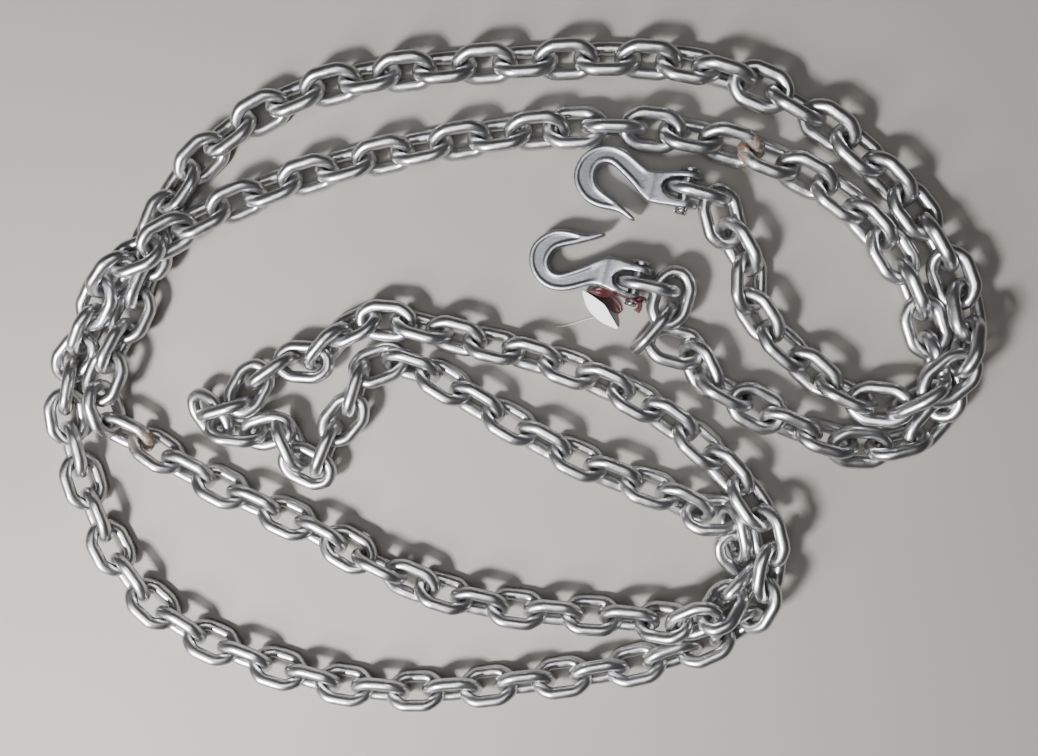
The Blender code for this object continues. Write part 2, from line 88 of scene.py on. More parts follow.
# Settling: its turns, the share of them before the late ones, the pull towards the route, what is
# left of that pull in the late turns, and what is left there of the pull between loose links
TURNS = 1000
LATE = 0.65
PULL = 0.03
LAST_PULL = 0.04
EASE = 0.1
# Turns from one list of close pairs to the next, and from one measure of the gaps to the next
PAIR_TURNS = 20
GAP_TURNS = 15
# Range of the distance between bar centres, and of its change at a measure: in a run, between runs
TAUT_RANGE = (7, 12)
TAUT_STEP = (-0.5, 0.5)
LOOSE_RANGE = (9, 15)
LOOSE_STEP = (-0.1, 0.8)
# Farthest that a pair is pushed apart, or a link lifted, in one turn
MOST_PUSH = 3
# Points on each edge of a wire's centre line from which gaps are measured
EDGE_POINTS = 6

# One row per point of the route: link number, x, y, lift above the floor chain, twist in degrees
ROUTE = [
    (0, 156, 154, 0, 45), (2, 190, 113, 0, 15), (4, 205, 62, 0, 0), (6, 247, 20, 1, 0),
    (8, 294, -12, 2, -45), (9, 319, -3, 9, -45), (10, 336, 12, 20, -45), (11, 360, 34, 10, -38),
    (12, 363, 61, 3, -12), (13, 354, 89, 0, 14), (15, 323, 141, 0, 66), (18, 255, 207, 0, 90),
    (20, 204, 237, 0, 130), (22, 148, 256, 0, 172), (25, 53, 256, 0, 180), (28, -37, 252, 0, 180),
    (31, -130, 244, 0, 180), (33, -188, 223, 0, 180), (35, -237, 191, 0, 180),
    (37, -279, 144, 0, 165), (38, -290, 110, -8, 140), (39, -292, 82, 0, 135),
    (40, -302, 54, 0, 135), (41, -320, 26, 4, 135), (42, -330, 0, 10, 140),
    (43, -331, -25, 3, 155), (44, -306, -40, 0, 170), (47, -233, -82, 0, 180),
    (50, -149, -119, 0, 182), (52, -96, -147, 0, 218), (54, -41, -170, 0, 262),
    (56, 20, -181, 0, 270), (59, 109, -184, 0, 270), (60, 135, -184, 7, 270),
    (61, 165, -184, 22, 247), (62, 190, -168, 22, 267), (63, 209, -148, 8, 292),
    (64, 209, -123, 0, 318), (65, 198, -107, 0, 341), (67, 154, -87, 0, 360),
    (70, 67, -54, 0, 360), (73, -14, -9, 0, 360), (75, -68, 22, 0, 355), (76, -96, 22, 0, 338),
    (77, -111, 1, 0, 315), (79, -137, -48, 0, 315), (80, -156, -63, 0, 315),
    (81, -166, -44, 0, 305), (82, -188, -34, 0, 290), (83, -212, -36, 0, 285),
    (84, -238, -22, 0, 292), (85, -218, -17, 6, 315), (86, -202, 2, 2, 315),
    (88, -156, 24, 0, 312), (89, -136, 31, 0, 293), (90, -121, 53, 0, 266), (91, -89, 60, 0, 242),
    (93, -34, 44, 0, 260), (95, 27, 32, 0, 270), (98, 113, 0, 0, 270), (100, 163, -33, 0, 270),
    (102, 207, -76, 3, 270), (103, 222, -106, 14, 270), (104, 231, -130, 20, 270),
    (105, 219, -163, 14, 270), (106, 203, -195, -2, 270), (108, 143, -222, 0, 270),
    (112, 26, -243, 0, 270), (116, -98, -261, 0, 270), (120, -221, -232, 0, 270),
    (123, -301, -192, 0, 270), (125, -334, -138, 0, 270), (128, -360, -48, 0, 270),
    (129, -366, -22, -3, 270), (130, -356, 2, -4, 250), (131, -354, 19, -3, 225),
    (132, -337, 42, 0, 225), (133, -326, 67, 4, 214), (134, -307, 92, 12, 202),
    (135, -280, 111, 18, 191), (136, -263, 126, 9, 180), (139, -179, 165, 0, 180),
    (142, -89, 187, 0, 180), (146, 34, 206, 0, 180), (148, 93, 209, 0, 228),
    (150, 155, 203, 0, 268), (153, 244, 171, 0, 270), (155, 293, 135, 0, 285),
    (157, 322, 80, 0, 313), (159, 342, 27, -6, 318), (160, 360, -9, -6, 345),
    (161, 344, -31, -2, 375), (163, 288, -40, 0, 396), (164, 258, -36, 0, 371),
    (166, 198, -7, 0, 320),
    (168, 157, 23, 0, 268), (169, 143, 42, 0, 245), (170, 128, 60, 0, 228), (171, 146, 79, 8, 226),
    (172, 122, 87, 0, 225),
]
# Links that stick out of the route: heading, and where along it the links before and after hold
STRAY = {84: (122, 0.0, 0.36), 131: (0, 0.45, 1.0), 170: (47, 0.45, 1.0), 171: (88, 0.0, 0.6)}
STRAY_PLAY = 7.0
# The last link before each joint where the chain folds back on itself
FOLDS = [79, 80]
# First link of each run: the links of a run are one body
RUN_STARTS = [
    0, 2, 3, 5, 8, 10, 11, 13, 18, 22, 30, 38, 39, 40, 42, 51, 61, 62, 65, 67, 76, 78, 80, 81,
    83, 84, 85, 87, 89, 90, 93, 98, 103, 106, 108, 118, 128, 130, 131, 132, 133, 136, 146, 156,
    159, 160, 164, 168, 170, 171, 172,
]
LINKS = 173

# Grab hook, in millimetres from its pin: X along the shank, Y towards the tine, Z its thickness
BODY = [
    (21, -8.7), (30, -9.2), (37, -12.3), (45, -16.8), (52, -19.8), (60.5, -21.3), (69, -20),
    (77, -15.6), (83.3, -8), (86, 1.5), (84.8, 10), (79.5, 17.8), (71.5, 23.8), (61.5, 26.3),
    (50, 26.4), (43.5, 27.4), (37, 30.2), (33.4, 31), (32.8, 29), (39.5, 24.4), (50, 18.6),
    (62.5, 12.6), (67.4, 8.4), (69.6, 2), (68.8, -3.2), (65.5, -6.6), (61, -7.6), (56.8, -6.4),
    (49.6, -2.1), (39, 5.1), (32, 11), (24.7, 15), (20.5, 12), (19.6, 3), (19.4, 0.5), (19.6, -4),
]
# Both ears seen along Z, as X and Y, and seen along Y, as X and Z
EARS = [
    (-11.5, -13.4), (0, -12.8), (10, -11.2), (21, -9.1), (27, -8.4), (27, 13), (24, 14.6),
    (18, 14.6), (8, 14.2), (-4, 13.7), (-11.5, 13.3), (-11.5, 8.4), (4, 8.7), (11, 7.6),
    (16, 4.7), (18.3, 0.5), (16.6, -3.9), (11.5, -7), (4, -8.4), (-11.5, -8.7),
]
EAR_SIDE = [
    (0, 11.5), (-4.9, 10.4), (-8.8, 7.4), (-11.1, 3), (-11.3, -2), (-9.4, -6.6), (-5.7, -10),
    (0, -11.5), (8, -10.7), (27, -7.4), (27, 7.4), (8, 10.7),
]
# Half of the plate's thickness, and half of the block that the ears are cut from
HALF_THICK = 8.0
HALF_EARS = 14.0
# Y of the ears' outer faces at the pin, and the lean that brings the hook's nose to the floor
EAR_OUTSIDE = (-13.25, 14.1)
HOOK_TILT = 6.2
# Clevis pin: its radius, height, play in the bore, and distance to the middle of the link's bar
PIN_RADIUS = 4.75
PIN_HEIGHT = 17.8
PIN_PLAY = 0.35
PIN_TO_WIRE = 10.6
# Its head's radius and thickness, the head's gap to the ear, and the length of its tail
HEAD = (7.3, 3.4)
HEAD_PLAY = 0.3
TAIL = 4.9
# Split pin: its place in that tail, the radius of its hole and of its wire, its eye and its legs
SPLIT_IN_TAIL = 2.4
SPLIT_HOLE = 1.6
SPLIT_WIRE = 0.95
EYE_RADIUS = 3.0
EYE_HEIGHT = 8.6
LEG_SPREAD = 4.6
# A cutter reaches past whatever it cuts
PAST = 30

# Pin place, way from the pin to the hook in degrees, which way up, which side the pin's head is on
HOOK_A = {"pin": (147.3, 157.3), "way": 167.8, "up": 1, "head": -1}
HOOK_B = {"pin": (111.0, 86.7), "way": 165.5, "up": -1, "head": 1}
# Heading of the first link, away from hook A, and of the last link, towards hook B
FIRST_LINK_WAY = 344.3
LAST_LINK_WAY = 168.0

# Tag: lower edge and top edge of the card from one tip to the other
TAG_LOW = [
    (69.4, 78.8, 4.4), (70.6, 74.2, 1.2), (72.8, 67.6, 0.6), (77.8, 60.9, 0.6), (85.8, 54.6, 0.6),
    (96.4, 49.9, 0.6),
]
TAG_TOP = [
    (69.9, 80.4, 7.6), (75.4, 77.6, 10), (81.5, 73.6, 11.3), (87.2, 69.0, 11), (91.2, 62.2, 8.5),
    (97.6, 51.2, 2.2),
]
# Rows of points between the card's edges, and how far it bulges where it is so wide
CARD_ROWS = 9
CARD_BULGE, CARD_WIDTH = 0.5, 14
# Thread: its line on the floor, and the height of its middle
THREAD = [
    (78.8, 59.2), (76.6, 58.6), (74.2, 58), (71.5, 57.3), (69, 56.5), (66.6, 55.6), (64.3, 54.8),
    (61.6, 53.9), (59, 53.2), (56.3, 52.4), (53.6, 51.9), (50.8, 51.6), (48.3, 51.5),
]
THREAD_HEIGHT = 0.75


def route_values():
    """Centre of each link in millimetres, without its floor height, and each link's twist."""
    rows = np.array(ROUTE, float)
    at = rows[:, 0]
    slope = np.empty_like(rows[:, 1:4])
    slope[1:-1] = (rows[2:, 1:4] - rows[:-2, 1:4]) / (at[2:] - at[:-2])[:, None]
    slope[0] = (rows[1, 1:4] - rows[0, 1:4]) / (at[1] - at[0])
    slope[-1] = (rows[-1, 1:4] - rows[-2, 1:4]) / (at[-1] - at[-2])
    number = np.arange(LINKS, dtype=float)
    k = np.clip(np.searchsorted(at, number, side="right") - 1, 0, len(at) - 2)
    span = (at[k + 1] - at[k])[:, None]
    t = (number - at[k])[:, None] / span
    centre = (
        (2 * t**3 - 3 * t**2 + 1) * rows[k, 1:4]
        + (t**3 - 2 * t**2 + t) * span * slope[k]
        + (3 * t**2 - 2 * t**3) * rows[k + 1, 1:4]
        + (t**3 - t**2) * span * slope[k + 1]
    )
    return centre, np.interp(number, at, rows[:, 4])


def unit(v):
    return v / np.linalg.norm(v, axis=-1, keepdims=True)


def link_axes(along, roll):
    """Unit vectors of each link: along it, across it in its own plane, and square to that plane."""
    along = unit(along)
    left = unit(np.cross([0.0, 0.0, 1.0], along))
    up = np.cross(along, left)
    c, s = np.cos(roll)[:, None], np.sin(roll)[:, None]
    return along, left * c + up * s, up * c - left * s


def ring_corners():
    """Centre line of one link's wire, anticlockwise in its plane."""
    x, y = LINK_CORNER
    h, w = LINK_HALF_LENGTH, LINK_HALF_WIDTH
    half = [(h, -y), (h, y), (x, w), (-x, w)]
    return np.array(half + [(-a, -b) for a, b in half])


def ring_in_space(centre, axes):
    corners = ring_corners()
    along, across, _ = axes
    return (
        centre[:, None]
        + corners[None, :, :1] * along[:, None]
        + corners[None, :, 1:] * across[:, None]
    )


def nearest(first, second):
    """Point of each first wire that is closest to the second, and the way from it to the second."""
    steps = np.linspace(0, 1, EDGE_POINTS + 1)[:-1, None]
    edge = np.roll(first, -1, axis=1) - first
    points = (first[:, :, None] + edge[:, :, None] * steps).reshape(len(first), -1, 3)
    d = np.roll(second, -1, axis=1) - second
    rel = points[:, :, None] - second[:, None]
    t = np.clip((rel * d[:, None]).sum(-1) / (d * d).sum(-1)[:, None], 0, 1)
    away = t[..., None] * d[:, None] - rel
    flat = np.linalg.norm(away, axis=-1).reshape(len(first), -1).argmin(1)
    row, column = np.divmod(flat, d.shape[1])
    pair = np.arange(len(first))
    return points[pair, row], away[pair, row, column]


def gap_between(way, square, first, second):
    """Gap between two wires whose centre lines are that way apart, and the length of that way."""
    width = np.linalg.norm(way, axis=-1)
    return width - half_wire(way, square[first]) - half_wire(way, square[second]), width


def half_wire(way, square):
    """How far a many-sided wire reaches from its centre line in a direction across it."""
    lift = abs((unit(way) * square).sum(-1))
    side = math.pi / WIRE_SIDES
    return WIRE * np.cos((np.arcsin(np.minimum(lift, 1)) + side) % (2 * side) - side)


def push(a, b, at, shift, links):
    """Moves the ends of each link so that its point at that place shifts by that much."""
    line = b[links] - a[links]
    share = np.clip(((at - a[links]) * line).sum(1) / (line * line).sum(1), 0, 1)[:, None]
    whole = share**2 + (1 - share) ** 2
    np.add.at(a, links, shift * (1 - share) / whole)
    np.add.at(b, links, shift * share / whole)


def settle_links(start_pin, end_pin):
    """Lays the links along the route so that each sits in its neighbours and on what lies below it.

    Inside a run the wires meet. Everywhere else they stay apart.
    """
    target, twist = route_values()
    twist = np.radians(twist)
    roll = twist + np.where(np.arange(LINKS) % 2, -1, 1) * math.pi / 4
    target[:, 2] += ON_FLOOR + LINK_HALF_WIDTH * np.maximum(
        abs(np.sin(twist + math.pi / 4)), abs(np.sin(twist - math.pi / 4))
    )
    joined = ~np.isin(np.arange(1, LINKS), RUN_STARTS)
    reach = np.where(joined, TAUT, LOOSE)
    along = unit(np.gradient(target, axis=0))
    before, after = np.zeros(LINKS), np.ones(LINKS)
    for i, (heading, first, last) in STRAY.items():
        along[i] = math.cos(math.radians(heading)), math.sin(math.radians(heading)), 0
        before[i], after[i] = first, last
    stray = list(STRAY)
    links = np.arange(LINKS)
    bent = np.array([after[i] < 1 or before[i + 1] > 0 or i in FOLDS for i in range(LINKS - 1)])
    aim = along[stray]
    a, b = target - along * HALF_PITCH, target + along * HALF_PITCH
    for turn in range(TURNS):
        gap = np.concatenate([[LOOSE], reach, [LOOSE]])
        head, tail = LINK_HALF_LENGTH - gap[:-1] / 2, LINK_HALF_LENGTH - gap[1:] / 2
        axes = link_axes(b - a, roll)
        centre = a + axes[0] * head[:, None]
        rings = ring_in_space(centre, axes)
        if turn % PAIR_TURNS == 0:
            apart = np.linalg.norm(centre[:, None] - centre[None], axis=-1)
            one, two = np.nonzero(np.triu(apart < 2 * LINK_HALF_LENGTH + LOOSE, 1))
            free = ~((two == one + 1) & joined[np.minimum(one, LINKS - 2)])
            one, two = one[free], two[free]
        if turn % GAP_TURNS == GAP_TURNS - 1:
            _, way = nearest(rings[:-1], rings[1:])
            gap_now, _ = gap_between(way, axes[2], links[:-1], links[1:])
            tight = np.clip(reach + np.clip(SUNK - gap_now, *TAUT_STEP), *TAUT_RANGE)
            roomy = np.clip(reach + np.clip(CLEAR - gap_now, *LOOSE_STEP), *LOOSE_RANGE)
            reach = np.where(joined, tight, np.where(bent, LOOSE, roomy))
        late = turn > LATE * TURNS
        pull = PULL * (LAST_PULL if late else 1 - turn / TURNS)
        a += pull * (target - centre)
        b += pull * (target - centre)
        turned = pull * (aim * HALF_PITCH - (b - a)[stray] / 2)
        a[stray] -= turned
        b[stray] += turned
        at, way = nearest(rings[one], rings[two])
        space, width = gap_between(way, axes[2], one, two)
        closing = np.where((two == one + 1) & late, -1, 0)
        shift = way * (np.clip(CLEAR - space, closing, MOST_PUSH) * 0.5 / width)[:, None]
        push(a, b, at, -shift, one)
        push(a, b, at + way, shift, two)
        low = rings[:, :, 2] - half_wire(np.array([0.0, 0.0, 1.0]), axes[2])[:, None]
        a[:, 2] += np.clip(-low[:, [3, 4, 5, 6]].min(1), 0, MOST_PUSH) * 0.5
        b[:, 2] += np.clip(-low[:, [7, 0, 1, 2]].min(1), 0, MOST_PUSH) * 0.5
        hold = (a + after[:, None] * (b - a))[:-1]
        seat = (a + before[:, None] * (b - a))[1:]
        delta = seat - hold
        line = unit((b - a)[1:] + (b - a)[:-1])
        ahead = (delta * line).sum(1, keepdims=True)
        side = delta - ahead * line
        width = np.linalg.norm(side, axis=1, keepdims=True) + 1e-9
        give = (ahead - np.clip(ahead, -SLACK, 0)) * line
        give += side * np.maximum(0, 1 - SIDE_PLAY / width)
        width = np.linalg.norm(delta, axis=1, keepdims=True) + 1e-9
        give = np.where(bent[:, None], delta * np.maximum(0, 1 - STRAY_PLAY / width), give)
        give = np.where(joined[:, None], delta, give * (EASE if late else 1))
        push(a, b, hold, give / 2, links[:-1])
        push(a, b, seat, -give / 2, links[1:])
        length = np.linalg.norm(b - a, axis=1)
        fix = unit(b - a) * ((length - head - tail) / 2)[:, None]
        a, b = a + fix, b - fix
        for i, (middle, heading) in ((0, start_pin), (-1, end_pin)):
            a[i], b[i] = middle - heading * head[i], middle + heading * tail[i]
    axes = link_axes(b - a, roll)
    return a + axes[0] * head[:, None], axes


# The route's own origin, from where the first hook's pin stands in the frame
PIN_AT = {joint["child"]: Vector(joint["pos_m"]) / MM for joint in frame["joints"]}
SHIFT = PIN_AT["hook_a"] - Vector((*HOOK_A["pin"], PIN_HEIGHT))

# Camera over the route: its eye, its lens and picture in pixels, its sensor, its tilts in degrees
EYE = (89.5, 104, 737)
FOCAL = 920
PICTURE_WIDTH = 1038
SENSOR_WIDTH = 36
TILT_X = -7.277
TILT_Y = 5.508

# Rust by link number: how much shows, at the link's far end or, where negative, its near end
RUSTY = {1: 0.45, 2: -0.4, 44: 0.95, 45: -0.8, 96: 0.5, 97: -0.4, 151: 1.0, 152: -0.9, 163: 0.4}
# On a link, in metres: half the line that its eye lies round, the edge of the painted shade on the
# eye's side of the wire, and where along the link rust sets in
EYE_LINE = 0.0085
EYE_SHADE_EDGE = (0.0078, 0.0112)
RUST_EDGE = (0.004, 0.02)
# Threads of the ribbon across and along it, and twist of the tag's thread, each per metre
WARP, WEFT, TWIST = 9000, 6000, 520

# Lamps: compass way and height in degrees, distance and size in metres
LAMPS = {"key": (222, 52, 1.7, 0.28), "far": (226, 34, 2.2, 0.7), "top": (90, 86, 1.4, 0.7)}
SKY_COLOUR = (0.9, 0.92, 0.95, 1)


def length_value(name, description, default, low, high, precision=4):
    return bpy.props.FloatProperty(
        name=name, description=description, default=default, min=low, max=high, unit="LENGTH",
        precision=precision,
    )


def share_value(name, description, default, high=1.0):
    return bpy.props.FloatProperty(
        name=name, description=description, default=default, min=0.0, max=high, subtype="FACTOR"
    )


def whole_value(name, description, default, low, high=2**31 - 1):
    return bpy.props.IntProperty(
        name=name, description=description, default=default, min=low, max=high
    )


def power_value(name, description, default):
    return bpy.props.FloatProperty(
        name=name, description=description, default=default, min=0.0, unit="POWER"
    )


def colour_value(name, description, default):
    return bpy.props.FloatVectorProperty(
        name=name, description=description, default=default, min=0.0, max=1.0, size=3,
        subtype="COLOR",
    )


class ChainLinkSizes(bpy.types.PropertyGroup):
    wire_radius: length_value(
        "Wire radius", "Radius of the wire that a link is bent from", 5.0 * MM, 0.001, 0.02
    )
    ring_length: length_value(
        "Ring length", "Length of a link's wire centre line", 2 * LINK_HALF_LENGTH * MM, 0.01, 0.1
    )
    ring_width: length_value(
        "Ring width", "Width of a link's wire centre line", 2 * LINK_HALF_WIDTH * MM, 0.005, 0.1
    )
    bend_radius: length_value(
        "Bend radius", "Radius of the bends at both ends of a link", 11.6 * MM, 0.002, 0.05
    )
    weld_height: share_value("Weld height", "How much thicker the wire is at its weld", 0.05, 0.3)
    end_taper: share_value(
        "End taper", "How far the bends are drawn in towards the link's middle", 0.3
    )
    ring_points: whole_value("Ring points", "Number of sections round a link", 36, 16, 64)
    wire_points: whole_value("Wire points", "Number of points round the wire", 12, 6, 24)
    seed: whole_value("Seed", "Seed of the links' different tones", 4, 0)


class GrabHookSizes(bpy.types.PropertyGroup):
    edge_radius: length_value(
        "Edge radius", "Rounding of the forging's outer edge", 2.2 * MM, 0.0005, 0.006
    )
    rim_width: length_value(
        "Rim width", "Width of the raised rim, its rounded edge included", 3.0 * MM, 0.001, 0.01
    )
    web_depth: length_value(
        "Web depth", "How far the web lies below the rim on each face", 1.2 * MM, 0.0, 0.005
    )
    grain: length_value(
        "Grain", "Size of the cells that the forging's skin is made of", 0.62 * MM, 0.0003, 0.003, 5
    )


class SoftSizes(bpy.types.PropertyGroup):
    card_thickness: length_value(
        "Card thickness", "Thickness of the tag", 0.4 * MM, 0.0001, 0.002, 5
    )
    ribbon_thickness: length_value(
        "Ribbon thickness", "Thickness of the ribbon's cloth", 0.22 * MM, 0.0001, 0.002, 5
    )
    thread_radius: length_value(
        "Thread radius", "Radius of the tag's thread", 0.55 * MM, 0.0001, 0.002, 5
    )


class ChainColours(bpy.types.PropertyGroup):
    steel: colour_value("Steel", "Bright steel of the links", (0.6, 0.6, 0.61))
    rust: colour_value("Rust", "Light rust on a few links", (0.17, 0.085, 0.04))
    forging: colour_value("Forging", "Forged skin of the hooks", (0.275, 0.283, 0.305))
    zinc: colour_value("Zinc", "Zinc plating of the pins", (0.5, 0.5, 0.5))
    card: colour_value("Card", "White card of the tag", (0.93, 0.89, 0.9))
    ribbon: colour_value("Ribbon", "Dark red cloth of the ribbon", (0.06, 0.005, 0.008))
    thread: colour_value("Thread", "Pale thread of the tag", (0.74, 0.66, 0.6))
    floor: colour_value("Floor", "Plain pale floor", (0.272, 0.26, 0.237))


class StageSizes(bpy.types.PropertyGroup):
    floor_radius: bpy.props.FloatProperty(
        name="Floor radius", description="Radius of the floor", default=6.0, min=1.0, unit="LENGTH"
    )
    key_power: power_value("Key power", "Power of the main lamp", 67.0)
    far_power: power_value("Far power", "Power of the lower lamp beside it", 29.0)
    top_power: power_value("Top power", "Power of the wide lamp straight above", 6.5)
    sky: bpy.props.FloatProperty(
        name="Sky", description="Brightness of the light from all round", default=0.05, min=0.0
    )


def title(name):
    return name.replace("_", " ").title()


def add_node(tree, kind, inputs=None, **settings):
    """Adds a node with its settings. Its inputs, by name or number, are values or other sockets."""
    node = tree.nodes.new(kind)
    for name, value in settings.items():
        setattr(node, name, value)
    for name, value in (inputs or {}).items():
        if isinstance(value, Term):
            value = value.socket
        if isinstance(value, bpy.types.NodeSocket):
            tree.links.new(value, node.inputs[name])
        else:
            node.inputs[name].default_value = value
    return node


class Term:
    """A socket of a node tree that takes ordinary arithmetic."""

    def __init__(self, socket):
        self.socket = socket

    def math(self, operation, *others):
        inputs = dict(enumerate((self, *others)))
        node = add_node(self.socket.id_data, "ShaderNodeMath", inputs, operation=operation)
        return Term(node.outputs[0])

    def __add__(self, other):
        return self.math("ADD", other)

    def __sub__(self, other):
        return self.math("SUBTRACT", other)

    def __mul__(self, other):
        return self.math("MULTIPLY", other)

    def __truediv__(self, other):
        return self.math("DIVIDE", other)

    def __pow__(self, other):
        return self.math("POWER", other)

    def __rsub__(self, other):
        return (self * -1) + other

    __radd__ = __add__

    def parts(self):
        node = add_node(self.socket.id_data, "ShaderNodeSeparateXYZ", {0: self})
        return [Term(node.outputs[k]) for k in range(3)]

    def rise(self, low, high):
        """Smooth step from 0 at low to 1 at high."""
        inputs = {"Value": self, "From Min": low, "From Max": high}
        node = add_node(
            self.socket.id_data, "ShaderNodeMapRange", inputs, interpolation_type="SMOOTHSTEP"
        )
        return Term(node.outputs[0])


class Finish:
    """A material that is being made: its node tree and its shader."""

    def __init__(self, name):
        self.material = bpy.data.materials.new(name)
        self.material.use_nodes = True
        self.tree = self.material.node_tree
        self.shader = self.tree.nodes["Principled BSDF"]
        self.place = self.node("ShaderNodeTexCoord", output="Object")

    def node(self, kind, inputs=None, output=0, **settings):
        return Term(add_node(self.tree, kind, inputs, **settings).outputs[output])

    def attribute(self, name, output="Fac"):
        return self.node("ShaderNodeAttribute", output=output, attribute_name=name)

    def noise(self, scale, detail=2.0, roughness=0.5):
        inputs = {"Vector": self.place, "Scale": scale, "Detail": detail, "Roughness": roughness}
        return self.node("ShaderNodeTexNoise", inputs)

    def cells(self, scale):
        return self.node("ShaderNodeTexVoronoi", {"Vector": self.place, "Scale": scale})

    def mix(self, factor, first, second):
        inputs = {0: factor, 6: colour_of(first), 7: colour_of(second)}
        return self.node("ShaderNodeMix", inputs, output=2, data_type="RGBA")

    def bump(self, height, distance, strength, under=None):
        inputs = {"Height": height, "Distance": distance, "Strength": strength}
        if under:
            inputs["Normal"] = under
        return self.node("ShaderNodeBump", inputs, output="Normal")

    def give(self, **values):
        """Sets the shader's inputs: roughness=0.4 sets Roughness, base_color sets Base Color."""
        for name, value in values.items():
            socket = self.shader.inputs[title(name)]
            if isinstance(value, Term):
                self.tree.links.new(value.socket, socket)
            else:
                socket.default_value = colour_of(value)
        return self.material


def colour_of(value):
    """A colour with its alpha, where the value is one of three numbers."""
    if isinstance(value, (tuple, Color)):
        return (*value, 1.0) if len(value) == 3 else tuple(value)
    return value


def scaled(colour, factor):
    return tuple(min(1.0, part * factor) for part in colour)


def bright_steel(colours):
    """Bare steel of the links, each in its own tone, with dull stains, a few rust spots and painted
    shade round the eye.
    """
    look = Finish("bright_steel")
    tone, rust = look.attribute("tone"), look.attribute("rust")
    x, y, _ = look.attribute("place", "Vector").parts()
    # Painted shade: the side of the wire that faces the link's eye is darkened as if shade fell
    # there
    across = ((x.math("ABSOLUTE") - EYE_LINE).math("MAXIMUM", 0.0) ** 2 + y ** 2) ** 0.5
    inside = 1 - across.rise(*EYE_SHADE_EDGE)
    stain = look.noise(95, 4, 0.6).rise(0.42, 0.72)
    mottle = look.noise(420, 3, 0.6)
    speck = look.noise(1300, 2, 0.5).rise(0.66, 0.74)
    steel = look.mix(tone, scaled(colours.steel, 0.86), scaled(colours.steel, 1.12))
    steel = look.mix(stain * 0.38, steel, scaled(colours.steel, 0.52))
    steel = look.mix(mottle.rise(0.45, 0.75) * 0.3, steel, scaled(colours.steel, 0.62))
    # Painted shade darkens the steel on the wire's side that faces the eye
    steel = look.mix(inside * 0.35, steel, scaled(colours.steel, 0.38))
    rusted = (x * rust).rise(*RUST_EDGE)
    film = look.noise(150, 4, 0.65).rise(0.4, 0.62) * rusted * 0.8
    spots = look.noise(420, 5, 0.7).rise(0.5, 0.6) * rusted
    worn = (film + spots + speck * 0.12).math("MINIMUM", 1.0)
    brown = look.mix(look.noise(800, 3), scaled(colours.rust, 0.6), scaled(colours.rust, 1.7))
    rough = 0.25 + stain * 0.1 + mottle * 0.07 + worn * 0.4
    fine = look.bump(look.noise(900, 4, 0.7), 0.0001, 0.25)
    return look.give(
        base_color=look.mix(worn, steel, brown),
        metallic=1 - worn * 0.75,
        roughness=rough,
        normal=look.bump(look.noise(130, 3, 0.6), 0.0006, 0.22, fine),
    )


def forged_steel(colours):
    """Drop forged skin: bright on the rim, grey and pitted in the web."""
    look = Finish("forged_steel")
    web = look.attribute("web")
    stain = look.noise(60, 5, 0.62).rise(0.38, 0.7)
    mottle = look.noise(330, 4, 0.65)
    pits = look.cells(420).rise(0.0, 0.35)
    skin = look.mix(web, scaled(colours.forging, 1.3), scaled(colours.forging, 0.66))
    skin = look.mix(stain * 0.4, skin, scaled(colours.forging, 0.45))
    skin = look.mix(mottle.rise(0.5, 0.72) * 0.35, skin, scaled(colours.forging, 1.35))
    film = look.noise(45, 4, 0.6).rise(0.62, 0.78) * look.noise(500, 4).rise(0.4, 0.62)
    skin = look.mix(film * 0.3, skin, scaled(colours.rust, 1.5))
    rough = 0.31 + web * 0.12 + stain * 0.1 + mottle * 0.1
    fine = look.bump(mottle, 0.0003, 0.45)
    return look.give(
        base_color=skin, metallic=1 - film * 0.4, roughness=rough,
        normal=look.bump(pits, 0.00025, 0.35, fine),
    )


def pin_steel(colours):
    """Zinc plating, with turning marks too fine to see one by one."""
    look = Finish("pin_steel")
    cloud = look.noise(140, 4, 0.6)
    scratch = look.noise(700, 3, 0.7)
    skin = look.mix(cloud.rise(0.35, 0.7), scaled(colours.zinc, 0.74), scaled(colours.zinc, 1.1))
    return look.give(
        base_color=look.mix(scratch.rise(0.6, 0.75) * 0.4, skin, scaled(colours.zinc, 0.5)),
        metallic=1.0, roughness=0.2 + cloud * 0.22, normal=look.bump(scratch, 0.0001, 0.4),
    )


def white_card(colours):
    """Uncoated card: short fibres, a few grey flecks and a matt surface."""
    look = Finish("white_paper")
    fibre = look.noise(900, 5, 0.75)
    fleck = look.noise(420, 3, 0.6).rise(0.66, 0.74)
    shade = look.mix(fibre.rise(0.3, 0.7), scaled(colours.card, 0.9), colours.card)
    return look.give(
        base_color=look.mix(fleck * 0.35, shade, scaled(colours.card, 0.6)),
        roughness=0.72 + fibre * 0.2, normal=look.bump(fibre, 0.0001, 0.5),
    )


def red_cloth(colours):
    """Thin ribbon: lengthwise threads that gather light, and cross threads between them."""
    look = Finish("red_ribbon")
    u, v, _ = look.node("ShaderNodeUVMap", uv_map="UVMap").parts()
    warp = (u * WARP).math("SINE") * 0.5 + 0.5
    weft = (v * WEFT).math("SINE") * 0.5 + 0.5
    weave = warp * 0.6 + weft * 0.4
    drift = look.noise(260, 4, 0.6)
    cloth = look.mix(weave, scaled(colours.ribbon, 0.55), scaled(colours.ribbon, 1.6))
    cloth = look.mix(drift.rise(0.35, 0.7) * 0.5, cloth, scaled(colours.ribbon, 0.5))
    return look.give(
        base_color=cloth, roughness=0.26 + drift * 0.25, sheen_weight=0.12, sheen_roughness=0.4,
        alpha=0.62 + weave * 0.3, normal=look.bump(weave, 0.00008, 0.6),
    )


